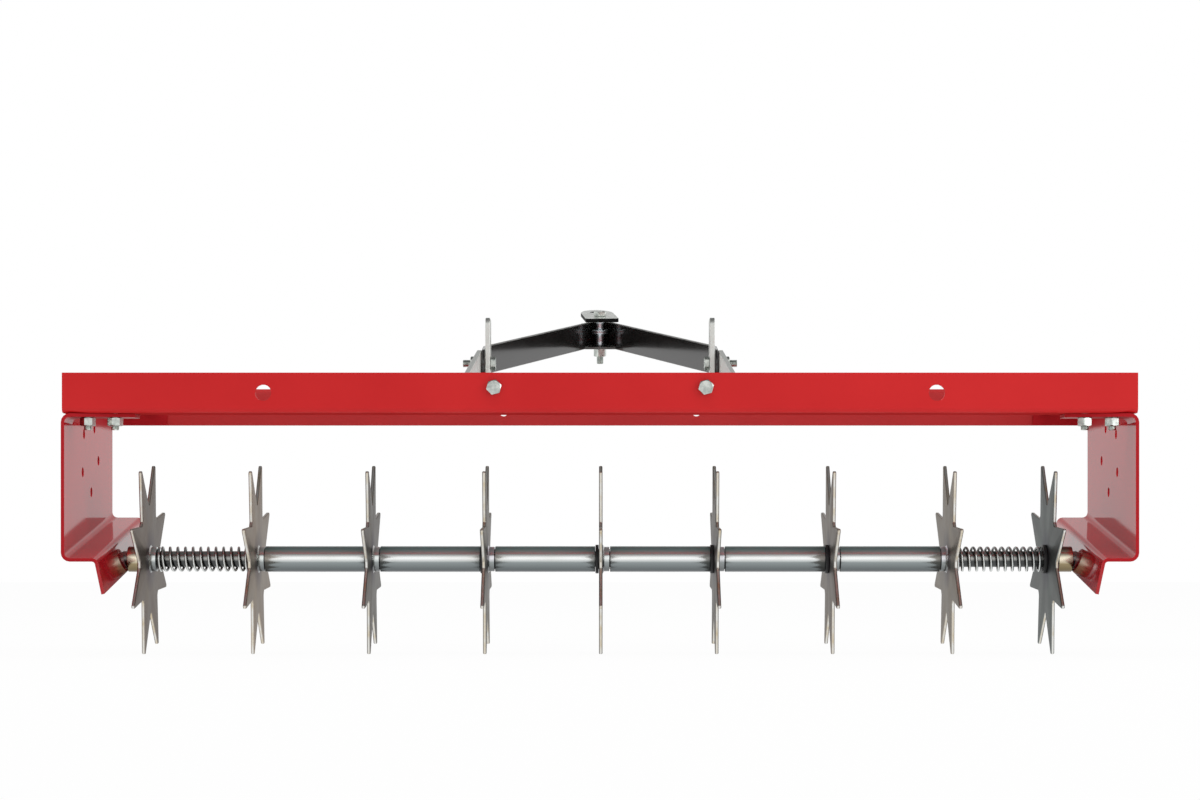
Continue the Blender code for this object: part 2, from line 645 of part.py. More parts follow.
def build_axle_stack():
    """Everything threaded on the axle between the two lips, set from the left end to the right.

    The two springs share what the solid pieces leave over, so they always fill the stack.
    The left one is a little slacker, which sets the seven wheels between them to the right.
    """
    end = lip_face(-TUBE_DIAMETER / 2) - GAP
    hub = BUSH_FLANGE + GAP + STAR_PLATE + COLLAR_LENGTH + BUSH_STANDOUT
    spacers = WHEEL_COUNT - 3
    solid = WHEEL_COUNT * hub + spacers * SPACER_LENGTH + 2 * END_BUSHING_LENGTH
    joints = WHEEL_COUNT + spacers + 2 + 2 - 1
    spring = (2 * end - solid - joints * GAP) / 2
    bore = AXLE_DIAMETER + 2 * PIVOT_PLAY
    flipped = WHEEL_COUNT - 1
    x = -end
    print("spring length", round(spring, 5))

    def tube(name, length, inner, finish):
        add_tube(name, AXLE_CENTRE + Vector((x, 0, 0)), length, TUBE_DIAMETER, inner, finish)
        return x + length + GAP

    x = tube("axle_bushing_left", END_BUSHING_LENGTH, bore, YELLOW_ZINC)
    for number in range(1, WHEEL_COUNT + 1):
        flange_first = number != flipped
        to_plate = BUSH_FLANGE + GAP if flange_first else COLLAR_LENGTH + BUSH_STANDOUT
        add_star_wheel(number, x + to_plate + STAR_PLATE / 2, 1 if flange_first else -1)
        x += hub + GAP
        if number in (1, flipped):
            side = "left" if number == 1 else "right"
            length = spring + STACK_SHIFT if side == "left" else spring - STACK_SHIFT
            points = spring_points(length)
            print("spring", side, "least gap", round(least_gap(points, SPRING_WIRE) * 1000, 3), "mm")
            start = AXLE_CENTRE + Vector((x, 0, 0))
            add_wire(f"spring_{side}", points, SPRING_WIRE, BRIGHT_STEEL, start)
            x += length + GAP
        elif number < flipped:
            x = tube(f"spacer_tube_{number - 1}", SPACER_LENGTH, TUBE_DIAMETER - 2 * TUBE_WALL, BRIGHT_STEEL)
    tube("axle_bushing_right", END_BUSHING_LENGTH, bore, YELLOW_ZINC)


def round_end(radius, steps=END_STEPS):
    """Distances past a pivot and half heights of a bar's rounded end, from the pivot outwards."""
    angles = [END_TURN * step / steps for step in range(steps + 1)]
    return [(radius * math.sin(angle), radius * math.cos(angle)) for angle in angles]


def build_uprights():
    """Tall galvanised angles on the front rail, and the bolts through their feet."""
    half = UPRIGHT_SHEET / 2
    base = RAIL_TOP + GAP
    for name, side in (("left", -1), ("right", 1)):
        wall = UPRIGHT_FACE - half
        corners = ((UPRIGHT_FACE - UPRIGHT_FOOT, base + half), (wall, base + half))
        corners += ((wall, base + UPRIGHT_HEIGHT - UPRIGHT_CORNER),)
        path = rounded_path(corners, UPRIGHT_BEND - half)
        widths = [UPRIGHT_WIDTH / 2] * len(path)
        for rise, width in round_end(UPRIGHT_CORNER)[1:]:
            path.append(Vector((wall, base + UPRIGHT_HEIGHT - UPRIGHT_CORNER + rise)))
            widths.append(UPRIGHT_WIDTH / 2 - UPRIGHT_CORNER + width)

        def place(point, across):
            return Vector((side * point.x, PIVOT_Y + across, point.y))

        bm = bmesh.new()
        strip(bm, path, UPRIGHT_SHEET, [(-width, width) for width in widths], place)
        upright = add_part(f"hitch_bracket_{name}", bm, GALVANISED)
        pin = BOLT_DIAMETER + 2 * PIVOT_PLAY
        foot = (side * RAIL_TIE_HOLE_X, PIVOT_Y, base + half)
        holes = [((side * wall, PIVOT_Y, PIVOT_Z), (1, 0, 0), pin)]
        holes.append(((side * wall, PIVOT_Y, PIVOT_Z + UPRIGHT_SPARE_HOLE), (1, 0, 0), pin))
        holes.append((foot, (0, 0, 1), BOLT_DIAMETER + 2 * BOLT_PLAY))
        drill(upright, holes)
        grip = UPRIGHT_SHEET + GAP + RAIL_SHEET
        top = (foot[0], foot[1], base + UPRIGHT_SHEET)
        add_bolt(f"foot_bolt_{name}", top, (0, 0, -1), grip)


def build_braces():
    """Galvanised flat bars on edge from the tongue pivots down to the rear rail."""
    half = BRACE_SHEET / 2
    inner = REAR_FACE + RAIL_SHEET + GAP
    slope = (PIVOT_Z - TIE_HEIGHT) / (PIVOT_Y - inner - half)
    for name, side in (("left", -1), ("right", 1)):
        middle = BRACE_FACE + half
        corners = ((middle - BRACE_TAB, inner + half), (middle, inner + half), (middle, PIVOT_Y))
        path = rounded_path(corners, BRACE_BEND - half)
        heights = [BRACE_HEIGHT / 2] * len(path)
        for reach, height in round_end(BRACE_HEIGHT / 2)[1:]:
            path.append(Vector((middle, PIVOT_Y + reach)))
            heights.append(height)

        def place(point, up):
            along = max(point.y - inner - half, 0)
            return Vector((side * point.x, point.y, TIE_HEIGHT + slope * along + up))

        bm = bmesh.new()
        strip(bm, path, BRACE_SHEET, [(-height, height) for height in heights], place)
        brace = add_part(f"brace_{name}", bm, GALVANISED)
        tab_bolt = (side * RAIL_TIE_HOLE_X, inner + half, TIE_HEIGHT)
        holes = [((side * middle, PIVOT_Y, PIVOT_Z), (1, 0, 0), BOLT_DIAMETER + 2 * PIVOT_PLAY)]
        holes.append((tab_bolt, (0, 1, 0), BOLT_DIAMETER + 2 * BOLT_PLAY))
        drill(brace, holes)
        grip = RAIL_SHEET + GAP + BRACE_SHEET
        add_bolt(f"brace_bolt_{name}", (tab_bolt[0], REAR_FACE, TIE_HEIGHT), (0, 1, 0), grip)
        grip = UPRIGHT_SHEET + GAP + TONGUE_SHEET + GAP + BRACE_SHEET
        head = (side * (UPRIGHT_FACE - UPRIGHT_SHEET), PIVOT_Y, PIVOT_Z)
        add_bolt(f"pivot_bolt_{name}", head, (side, 0, 0), grip, None, PIVOT_NUT_HEIGHT, PIVOT_BOLT_TIP)


def build_tongue():
    """Black V of flat bar on edge that tips on the pivot bolts, with a web under its nose."""
    pivot = add_empty("tongue_pivot", (0, PIVOT_Y, PIVOT_Z), (TONGUE_SLOPE, 0, 0))
    half = TONGUE_SHEET / 2
    middle = TONGUE_HALF_WIDTH - half
    nose = TONGUE_NOSE_HALF - half
    front = TONGUE_LENGTH - half
    shoulder = rounded_path(((middle, 0), (middle, TONGUE_STRAIGHT), (nose, front)), TONGUE_SHOULDER_BEND)
    tip = rounded_path(((middle, TONGUE_STRAIGHT), (nose, front), (0, front)), TONGUE_NOSE_BEND)
    arm = shoulder[:-1] + tip[1:-1]
    heights = [TONGUE_HEIGHT / 2] * len(arm)
    for reach, height in round_end(TONGUE_HEIGHT / 2)[1:]:
        arm.insert(0, Vector((middle, -reach)))
        heights.insert(0, height)
    path = arm + [Vector((-point.x, point.y)) for point in reversed(arm)]
    heights += heights[::-1]

    def place(point, up):
        return Vector((point.x, point.y, up))

    bm = bmesh.new()
    strip(bm, path, TONGUE_SHEET, [(-height, height) for height in heights], place)
    tongue = add_part("tongue", bm, BLACK_PAINT, parent=pivot)
    web_bottom = -TONGUE_HEIGHT / 2
    rings = []
    wide = WEB_WIDTH / 2
    rear = HITCH_BOLT_U - WEB_BEHIND_BOLT
    low, high = (web_bottom, web_bottom + WEB_SHEET)
    for u, width in ((rear, wide), (front - WEB_CORNER, wide), (front, nose)):
        rings.append([Vector((x, u, w)) for x, w in ((-width, low), (width, low), (width, high), (-width, high))])
    bm = bmesh.new()
    skin(bm, rings)
    add_cutter("tongue_web", bm, tongue, "UNION")
    pin = BOLT_DIAMETER + 2 * PIVOT_PLAY
    holes = [((side * middle, 0, 0), (1, 0, 0), pin) for side in (-1, 1)]
    holes.append(((0, HITCH_BOLT_U, web_bottom), (0, 0, 1), pin))
    drill(tongue, holes)
    build_hitch(pivot, web_bottom + WEB_SHEET)


def build_hitch(pivot, web_top):
    """Stack on the hitch bolt: sleeve, washer, sleeve, and the plate that the tractor's pin takes."""
    along_bolt = (0, -math.pi / 2, 0)
    pin = BOLT_DIAMETER + 2 * PIVOT_PLAY
    w = web_top + GAP
    stack = (("hitch_sleeve_lower", HITCH_LOWER_SLEEVE, HITCH_SLEEVE_DIAMETER),
             ("hitch_washer", HITCH_WASHER, HITCH_WASHER_DIAMETER),
             ("hitch_sleeve_upper", HITCH_UPPER_SLEEVE, HITCH_SLEEVE_DIAMETER))
    for name, length, outer in stack:
        add_tube(name, (0, HITCH_BOLT_U, w), length, outer, pin, BRIGHT_STEEL, HUB_ROUND, pivot, along_bolt)
        w += length + GAP
    swivel = add_empty("hitch_swivel", (0, HITCH_BOLT_U, w), (0, 0, HITCH_SWIVEL), pivot)
    add_hitch_plate(swivel)
    top = w + HITCH_PLATE
    grip = top - web_top + WEB_SHEET
    bolt_end = (HITCH_NUT_HEIGHT, HITCH_BOLT_TIP)
    add_bolt("hitch_bolt", (0, HITCH_BOLT_U, top), (0, 0, -1), grip, pivot, *bolt_end)


def add_hitch_plate(swivel):
    """Flat hitch plate with an elliptic nose, turning on the hitch bolt."""
    half_width = HITCH_PLATE_WIDTH / 2
    corner = HITCH_PLATE_CORNER
    shoulder = HITCH_PLATE_STRAIGHT - HITCH_PLATE_TAIL
    nose = HITCH_PLATE_LENGTH - HITCH_PLATE_STRAIGHT
    path = []
    widths = []
    for back, width in reversed(round_end(corner, HITCH_CORNER_STEPS)):
        path.append(Vector((corner - back - HITCH_PLATE_TAIL, 0)))
        widths.append(half_width - corner + width)
    for reach, width in round_end(1.0, HITCH_NOSE_STEPS):
        path.append(Vector((shoulder + nose * reach / math.sin(END_TURN), 0)))
        widths.append(half_width * width)

    def place(point, across):
        return Vector((across, point.x, HITCH_PLATE / 2 + point.y))

    bm = bmesh.new()
    strip(bm, path, HITCH_PLATE, [(-width, width) for width in widths], place)
    plate = add_part("hitch_plate", bm, GALVANISED, parent=swivel)
    holes = [((0, 0, 0), (0, 0, 1), BOLT_DIAMETER + 2 * PIVOT_PLAY)]
    holes.append(((0, HITCH_PIN_PLACE - HITCH_PLATE_TAIL, 0), (0, 0, 1), HITCH_PIN_HOLE))
    drill(plate, holes)


def stand_centred():
    """Moves the whole model so that its box is centred on X = Y = 0 and rests on Z = 0."""
    bpy.context.view_layer.update()
    graph = bpy.context.evaluated_depsgraph_get()
    points = []
    for part in bpy.context.scene.objects:
        if part.type in {"MESH", "CURVE"} and not part.hide_render:
            shape = part.evaluated_get(graph)
            mesh = shape.to_mesh()
            points += [part.matrix_world @ vert.co for vert in mesh.vertices]
            shape.to_mesh_clear()
    low = Vector([min(point[axis] for point in points) for axis in range(3)])
    high = Vector([max(point[axis] for point in points) for axis in range(3)])
    shift = Vector((-(low.x + high.x) / 2, -(low.y + high.y) / 2, -low.z))
    for part in bpy.context.scene.objects:
        if part.parent is None:
            part.location += shift
    print("size", [round(value, 4) for value in high - low], "moved by", [round(value, 7) for value in shift])


def main():
    for part in list(bpy.data.objects):
        bpy.data.objects.remove(part)
    build_rails()
    build_end_brackets()
    build_bracket_bolts()
    build_axle()
    build_axle_stack()
    build_uprights()
    build_braces()
    build_tongue()
    stand_centred()


main()
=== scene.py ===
import json
import math

import bmesh
import bpy
import numpy as np
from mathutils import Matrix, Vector


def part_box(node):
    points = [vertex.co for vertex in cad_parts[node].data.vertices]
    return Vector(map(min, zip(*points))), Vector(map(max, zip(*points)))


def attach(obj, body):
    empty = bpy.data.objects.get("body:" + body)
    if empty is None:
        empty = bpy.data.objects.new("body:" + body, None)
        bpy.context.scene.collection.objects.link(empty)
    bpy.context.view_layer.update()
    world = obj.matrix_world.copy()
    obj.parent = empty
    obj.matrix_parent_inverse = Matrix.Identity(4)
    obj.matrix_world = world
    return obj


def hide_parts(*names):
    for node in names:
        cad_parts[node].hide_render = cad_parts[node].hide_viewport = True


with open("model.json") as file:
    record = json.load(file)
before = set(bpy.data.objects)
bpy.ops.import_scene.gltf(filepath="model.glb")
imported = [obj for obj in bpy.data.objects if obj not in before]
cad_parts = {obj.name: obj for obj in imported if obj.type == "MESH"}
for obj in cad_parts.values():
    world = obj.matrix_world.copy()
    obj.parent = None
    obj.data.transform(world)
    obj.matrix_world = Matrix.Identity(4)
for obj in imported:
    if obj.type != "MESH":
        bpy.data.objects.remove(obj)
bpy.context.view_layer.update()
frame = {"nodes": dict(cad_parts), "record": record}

SLOT_OF = {part["node"]: part["material_slot"] for part in frame["record"]["subparts"]}
BODY_OF = {node: body for body, nodes in frame["record"]["behaviour"]["bodies"].items() for node in nodes}


def node_middle(node):
    """Middle of a CAD node's box, as an array."""
    low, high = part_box(node)
    return (np.array(low) + np.array(high)) / 2


# Places read from the frame, in metres like every size here
SHINE_BELOW_RAIL = 0.008        # the brackets' coat shines up to here and is matt above
LIP_INSET = 0.0325              # from a bracket's outer face to its lip
AXLE = node_middle("axle")
SHINE_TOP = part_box("rear_rail")[0][2] - SHINE_BELOW_RAIL
LIP_FROM_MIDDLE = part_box("end_bracket_right")[1][0] - LIP_INSET

# Camera: level, straight along the tow direction, from low behind the machine
CAMERA_DISTANCE = 2.515
CAMERA_ABOVE_AXLE = 0.006
FOCAL_PIXELS = 2537             # in the photograph's pixels, as are the next two
PHOTO_WIDTH = 1200
HORIZON_BELOW_MIDDLE = 153
SENSOR = 36.0                   # in millimetres

# Light: the world's, and how white the floor shows
EVEN_LIGHT = 0.62
CEILING_LIGHT = 0.16
CEILING_FROM = 0.24             # the upward share of a direction where the ceiling starts to dim
CEILING_FULL = 0.68
FLOOR_WHITE = 0.96

# Sizes of the fine pieces: the CAD's, but for the springs' wire and turns and the stars' rolled edges
CLEARANCE = 0.0003
TUBE_RADIUS = 0.0127
TUBE_WALL = 0.0025
AXLE_RADIUS = 0.00795
BUSHING_BORE = 0.00825
HUB_SLEEVE = 0.00995
HUB_FLANGE = 0.0142
HUB_FLANGE_THICKNESS = 0.0032
COLLAR_RADIUS = 0.0122
COLLAR_LENGTH = 0.0067
COLLAR_BORE = 0.01025
STAR_POINTS = 8
STAR_TIP_RADIUS = 0.097
STAR_VALLEY_RADIUS = 0.054
STAR_TIP_WIDTH = 0.003
STAR_VALLEY_WIDTH = 0.006
STAR_PLATE = 0.0035
STAR_ROLL = 0.0011              # rounding of the stamped edges
STAR_PHASE = math.radians(-16.5)
REVERSED_WHEEL = 8
# How warm and how deep each wheel's zinc is, from wheel 1 to wheel 9
WHEEL_ZINC = ((0.9, 0.85), (0.95, 0.0), (0.5, 0.8), (0.55, 0.5), (0.5, 0.7),
              (0.5, 0.8), (0.8, 0.6), (0.75, 0.15), (0.05, 0.75))
SPRING_WIRE = 0.0026
SPRING_DIAMETER = 0.0254
SPRING_OPEN_TURNS = 11
SPRING_CLOSED_PITCH = 0.0029
COTTER_WIRE = 0.0032
COTTER_LEG = 0.013
COTTER_EYE_RADIUS = 0.004
BOLT_RADIUS = 0.004
HEX_WIDTH = 0.013               # across flats
HEAD_HEIGHT = 0.0053
NUT_HEIGHT = 0.008
BOLT_TIP = 0.0038               # past the nut
PIVOT_NUT_HEIGHT = 0.0065
PIVOT_BOLT_TIP = 0.0078
HITCH_NUT_HEIGHT = 0.0092
HITCH_BOLT_TIP = 0.0085
THREAD_PITCH = 0.00125
THREAD_DEPTH = 0.0005
TONGUE_SLOPE = math.radians(10.8)
TONGUE_UP = (0, -math.sin(TONGUE_SLOPE), math.cos(TONGUE_SLOPE))
HITCH_BOLT_U = 0.287            # from the pivots, along the tongue
WEB_TOP = -0.012                # from the pivots, square to the tongue
WEB_SHEET = 0.003
HITCH_PLATE = 0.0045
HITCH_SLEEVE_RADIUS = 0.0052
HITCH_LOWER_SLEEVE = 0.0137
HITCH_UPPER_SLEEVE = 0.0105
HITCH_WASHER_RADIUS = 0.010
HITCH_WASHER = 0.0044

# Facets
ROUND = 56
BOLT_ROUND = 48
WIRE_SIDES = 14
COIL_STEPS = 26                 # in each turn of a spring
THREAD_STEPS = 9                # in each turn of a thread


class Value:
    """A shader socket that takes part in arithmetic."""

    def __init__(self, tree, socket):
        self.tree = tree
        self.socket = socket

    def _math(self, operation, *others):
        return self.tree.node("ShaderNodeMath", {"operation": operation}, {0: self, **dict(enumerate(others, 1))})

    def __add__(self, other):
        return self._math("ADD", other)

    __radd__ = __add__

    def __mul__(self, other):
        return self._math("MULTIPLY", other)

    __rmul__ = __mul__

    def __sub__(self, other):
        return self._math("SUBTRACT", other)

    def __rsub__(self, other):
        return self * -1 + other

    def __truediv__(self, other):
        return self._math("DIVIDE", other)

    def unsigned(self):
        """The value without its sign."""
        return self._math("ABSOLUTE")

    def clamped(self):
        """The value held between 0 and 1."""
        return self.tree.node("ShaderNodeClamp", {}, {"Value": self})

    def between(self, low, high):
        """The value spread from 0 at low to 1 at high, held there."""
        return self.tree.node("ShaderNodeMapRange", {}, {"Value": self, "From Min": low, "From Max": high})


class Tree:
    """The node tree of a new material, with its Principled shader, or of a new world, with its background."""

    def __init__(self, name, world=False):
        self.owner = bpy.data.worlds.new(name) if world else bpy.data.materials.new(name)
        self.owner.use_nodes = True
        self.nodes = self.owner.node_tree.nodes
        self.links = self.owner.node_tree.links
        self.shader = self.nodes["Background" if world else "Principled BSDF"]

    def wire(self, node, inputs):
        """Links or sets each of a node's sockets, by name or number."""
        for key, value in inputs.items():
            if isinstance(value, Value):
                self.links.new(value.socket, node.inputs[key])
            else:
                node.inputs[key].default_value = value

    def node(self, kind, settings, inputs, output=0):
        """Any node: its settings first, then the values or links of its sockets."""
        node = self.nodes.new(kind)
        for key, value in settings.items():
            setattr(node, key, value)
        self.wire(node, inputs)
        return Value(self, node.outputs[output])

    def place(self, scale=(1, 1, 1), turn=(0, 0, 0), origin=(0, 0, 0)):
        """Object coordinates, moved, turned and stretched."""
        coordinates = self.node("ShaderNodeTexCoord", {}, {}, "Object")
        moved = self.node("ShaderNodeVectorMath", {"operation": "SUBTRACT"}, {0: coordinates, 1: origin})
        return self.node("ShaderNodeMapping", {}, {"Vector": moved, "Rotation": turn, "Scale": scale})

    def axis(self, name, origin=(0, 0, 0)):
        """One of the object coordinates."""
        return self.node("ShaderNodeSeparateXYZ", {}, {0: self.place(origin=origin)}, name)

    def noise(self, scale, where=None, detail=3.0, roughness=0.5):
        """Noise from 0 to 1 at this scale."""
        where = where or self.place()
        inputs = {"Vector": where, "Scale": scale, "Detail": detail, "Roughness": roughness}
        return self.node("ShaderNodeTexNoise", {}, inputs)

    def attribute(self, name):
        """A number that the piece's own mesh carries under this name."""
        return self.node("ShaderNodeAttribute", {"attribute_name": name}, {}, "Fac")

    def blend(self, share, first, second):
        """Colour that goes from the first to the second as share goes from 0 to 1."""
        return self.node("ShaderNodeMix", {"data_type": "RGBA"}, {0: share, 6: first, 7: second}, 2)

    def bump(self, height, distance, strength=1.0):
        """Normal that follows the height, in metres."""
        return self.node("ShaderNodeBump", {}, {"Height": height, "Distance": distance, "Strength": strength})

    def shown(self):
        """1 for rays from the camera, off a glossy surface or through glass, and 0 for others."""
        ray = self.nodes.new("ShaderNodeLightPath")
        kinds = ("Is Camera Ray", "Is Glossy Ray", "Is Transmission Ray")
        return sum(Value(self, ray.outputs[kind]) for kind in kinds).clamped()

    def finish(self, **inputs):
        """Sets the shader's sockets, named with underscores, and returns the material or world."""
        self.wire(self.shader, {key.replace("_", " "): value for key, value in inputs.items()})
        return self.owner


def srgb(red, green, blue):
    """Linear colour of an sRGB one given from 0 to 255."""
    channels = np.array([red, green, blue]) / 255
    linear = np.where(channels <= 0.04045, channels / 12.92, ((channels + 0.055) / 1.055) ** 2.4)
    return (*linear.tolist(), 1.0)


def red_powder_coat(name, deep, bright, gloss, roughness):
    """Red powder coat: faint orange peel, and slow changes of depth and sheen. Returns its tree and sockets."""
    tree = Tree(name)
    cloud = tree.noise(9.0, detail=2.0).between(0.3, 0.7)
    haze = tree.noise(34.0, detail=3.0).between(0.4, 0.8)
    peel = tree.noise(900.0, detail=1.0) + tree.noise(260.0, detail=1.0) * 0.6
    return tree, {"Base_Color": tree.blend(cloud, deep, bright), "Roughness": roughness + haze * 0.03,
                  "Specular_IOR_Level": gloss, "Normal": tree.bump(peel, 0.00001, 0.12)}


def rail_coat(name, deep, bright, gloss, roughness):
    """Powder coat on the rails, with an even sheen."""
    tree, sockets = red_powder_coat(name, deep, bright, gloss, roughness)
    return tree.finish(**sockets)


def bracket_coat():
    """Powder coat on the end brackets: matt under the top flange and with a clear shine on the lips. Its red is
    darker than the rear rail's, as painted shade.
    """
    # The base reds are darker than the rear rail's: painted shade
    tree, sockets = red_powder_coat("red_bracket_coat", srgb(176, 24, 32), srgb(182, 30, 38), 0.1, 0.07)
    height = tree.axis("Z")
    sockets["Roughness"] += height.between(SHINE_TOP, SHINE_TOP + 0.006) * 0.45
    on_lip = 1 - tree.axis("X").unsigned().between(LIP_FROM_MIDDLE - 0.003, LIP_FROM_MIDDLE)
    below = 1 - height.between(AXLE[2] + 0.03, AXLE[2] + 0.04)
    return tree.finish(Coat_Weight=on_lip * below * 0.6, Coat_Roughness=0.04, **sockets)


def from_axle(tree):
    """Square of the distance from the axle's middle line."""
    y = tree.axis("Y", tuple(AXLE))
    z = tree.axis("Z", tuple(AXLE))
    return y * y + z * z


def star_zinc():
    """Zinc on rolled sheet: fine grain under cloudy tints, violet from the weld's heat near the collar, and
    lighter cut edges of bare metal, whose bright band at the edge's middle is a painted highlight. A star's mesh
    carries how warm and how deep its tint is, and a 1 on its cut edge."""
    tree = Tree("star_zinc")
    grain = tree.noise(70.0, tree.place(scale=(1, 12, 1), turn=(0.6, 0, 0)), detail=4.0)
    tint = tree.attribute("warmth") + tree.noise(12.0, detail=2.0) * 0.3 - 0.15
    cloud = tree.noise(38.0, detail=4.0).between(0.25, 0.75)
    tinted = tree.blend(tint.clamped(), srgb(142, 153, 149), srgb(180, 168, 154))
    deepened = tree.blend(tree.attribute("depth") * 0.5, tinted, srgb(88, 84, 86))
    stained = tree.blend(cloud * 0.3, deepened, srgb(132, 124, 130))
    heat = 1 - from_axle(tree).between(0.00022, 0.0011)
    plate = tree.blend(heat * 0.5, stained, srgb(92, 88, 102))
    # Cut edge: lighter bare metal, and its bright band, kept to the edge's middle, is a painted highlight
    edge = tree.blend(tree.noise(70.0, detail=3.0).between(0.4, 0.7), srgb(230, 230, 226), srgb(212, 198, 170))
    colour = tree.blend(tree.attribute("cut"), plate, edge)
    roughness = 0.3 + grain * 0.1 + cloud * 0.08
    return tree.finish(Base_Color=colour, Metallic=1.0, Roughness=roughness, Specular_Tint=(0.48, 0.48, 0.48, 1.0),
                       Normal=tree.bump(grain, 0.00004, 0.2))


def underside_shade(tree, radius, start=-0.04, end=0.27):
    """Mask for painted shade by height about the axle, in radii: 0 on the upper part of what lies round the axle,
    rising to 1 on its underside. Other limits mark the top instead.
    """
    height = tree.axis("Z", tuple(AXLE)) / radius
    return (height * -1).between(start, end)


def collar_zinc():
    """Zinc on the welded collars, tinted green and violet by turns, with a soot of weld and painted shade darkening
    the underside.
    """
    tree = Tree("collar_zinc")
    soot = tree.noise(120.0, detail=4.0).between(0.45, 0.8)
    tint = tree.noise(9.0, detail=1.0).between(0.42, 0.58)
    bright = tree.blend(tint, srgb(236, 242, 239), srgb(233, 232, 237))
    # Painted shade: the colour darkens towards the underside
    painted_shade = tree.blend(underside_shade(tree, COLLAR_RADIUS, 0.2, 0.9), srgb(154, 160, 160), srgb(104, 107, 108))
    shaded = tree.blend(underside_shade(tree, COLLAR_RADIUS), bright, painted_shade)
    colour = tree.blend(soot * 0.35, shaded, srgb(84, 82, 86))
    dust = 1 - underside_shade(tree, COLLAR_RADIUS, -0.6, -0.28)
    return tree.finish(Base_Color=colour, Metallic=1.0, Roughness=0.17 + soot * 0.08 + dust * 0.24)


def tube_zinc():
    """Bright zinc on drawn tube: streaks along it and soft stains round it, with painted shade on its underside and
    a darker, cyan-tinted top, also painted shade.
    """
    tree = Tree("tube_zinc")
    streak = tree.noise(900.0, tree.place(scale=(0.03, 1, 1)), detail=3.0)
    stain = tree.noise(26.0, detail=4.0).between(0.45, 0.72)
    bright = tree.blend(stain * 0.4, srgb(250, 252, 251), srgb(232, 231, 222))
    # Painted shade: the colour darkens towards the underside
    painted_shade = tree.blend(underside_shade(tree, TUBE_RADIUS, 0.2, 0.9), srgb(148, 156, 157), srgb(95, 100, 102))
    lower = tree.blend(underside_shade(tree, TUBE_RADIUS), bright, painted_shade)
    # Painted shade on the top, tinted cyan against the red rail's reflection
    colour = tree.blend(underside_shade(tree, TUBE_RADIUS, -0.8, -0.38), srgb(168, 200, 199), lower)
    dust = 1 - underside_shade(tree, TUBE_RADIUS, -0.6, -0.28)
    roughness = 0.15 + streak * 0.03 + stain * 0.05 + dust * 0.26
    return tree.finish(Base_Color=colour, Metallic=1.0, Roughness=roughness,
                       Normal=tree.bump(streak, 0.00001, 0.15))


def axle_steel():
    """Drawn bar: darker and duller than the tubes over it, with fine lines along its length, and painted shade on
    its underside.
    """
    tree = Tree("axle_steel")
    line = tree.noise(1300.0, tree.place(scale=(0.02, 1, 1)), detail=2.0)
    cloud = tree.noise(40.0, detail=3.0)
    bright = tree.blend(cloud, srgb(182, 182, 178), srgb(156, 156, 153))
    # Painted shade: dark grey on the underside
    colour = tree.blend(underside_shade(tree, AXLE_RADIUS), bright, srgb(78, 80, 80))
    return tree.finish(Base_Color=colour, Metallic=1.0, Roughness=0.2 + line * 0.14,
                       Normal=tree.bump(line, 0.00003, 0.4))


def galvanised_bar(name, polish):
    """Galvanised flat bar: fine crystal patches and a satin sheen, smoother as the polish goes from 0 to 1."""
    tree = Tree(name)
    crystals = tree.node("ShaderNodeTexVoronoi", {}, {"Vector": tree.place(), "Scale": 160.0}, "Color")
    patch = tree.node("ShaderNodeSeparateColor", {}, {0: crystals})
    fine = tree.noise(420.0, detail=3.0)
    colour = tree.blend(patch * 0.5 + fine * 0.3, srgb(216, 219, 215), srgb(238, 240, 235))
    roughness = 0.42 - polish * 0.22 + patch * 0.1
    return tree.finish(Base_Color=colour, Metallic=1.0, Roughness=roughness,
                       Normal=tree.bump(fine, 0.00003, 0.3 - polish * 0.2))


def dark_plate_edge():
    """Sheared edge of the hitch plate: near black, with lighter metallic specks."""
    tree = Tree("dark_plate_edge")
    worn = tree.noise(260.0, detail=4.0).between(0.68, 0.8)
    colour = tree.blend(worn, srgb(14, 14, 14), srgb(110, 110, 106))
    return tree.finish(Base_Color=colour, Metallic=worn * 0.8, Roughness=0.6 - worn * 0.15, Specular_IOR_Level=0.1)


def bolt_zinc():
    """Zinc on small hardware: smooth and faintly green, with duller patches."""
    tree = Tree("bolt_zinc")
    cloud = tree.noise(210.0, detail=4.0)
    colour = tree.blend(cloud.between(0.35, 0.7), srgb(212, 217, 211), srgb(160, 166, 162))
    return tree.finish(Base_Color=colour, Metallic=1.0, Roughness=0.2 + cloud * 0.14,
                       Normal=tree.bump(cloud, 0.00002, 0.2))


def sleeve_zinc():
    """Blue-white zinc on the turned sleeves and washer: nearly a mirror, with faint turning lines."""
    tree = Tree("sleeve_zinc")
    line = tree.noise(2200.0, tree.place(scale=(0.05, 0.05, 1)), detail=1.0)
    colour = tree.blend(line, srgb(196, 208, 216), srgb(226, 234, 238))
    return tree.finish(Base_Color=colour, Metallic=1.0, Roughness=0.16 + line * 0.08)


def spring_wire():
    """Oil-tempered spring wire with a thin zinc wash."""
    tree = Tree("spring_wire")
    cloud = tree.noise(300.0, detail=3.0)
    colour = tree.blend(cloud, srgb(186, 188, 188), srgb(214, 216, 214))
    return tree.finish(Base_Color=colour, Metallic=1.0, Roughness=0.16 + cloud * 0.12)


def coil_wire():
    """Wound spring wire: a painted highlight on its outer side, away from the axle, and painted shade on its flanks.
    """
    tree = Tree("coil_wire")
    cloud = tree.noise(300.0, detail=3.0)
    # Painted highlight on the wire's outer side and painted shade on its flanks, by distance from the axle
    painted_highlight = from_axle(tree).between(0.0119 ** 2, 0.01255 ** 2)
    colour = tree.blend(painted_highlight, srgb(104, 106, 104), tree.blend(cloud, srgb(206, 210, 209), srgb(226, 229, 227)))
    return tree.finish(Base_Color=colour, Metallic=1.0, Roughness=0.16 + cloud * 0.12)


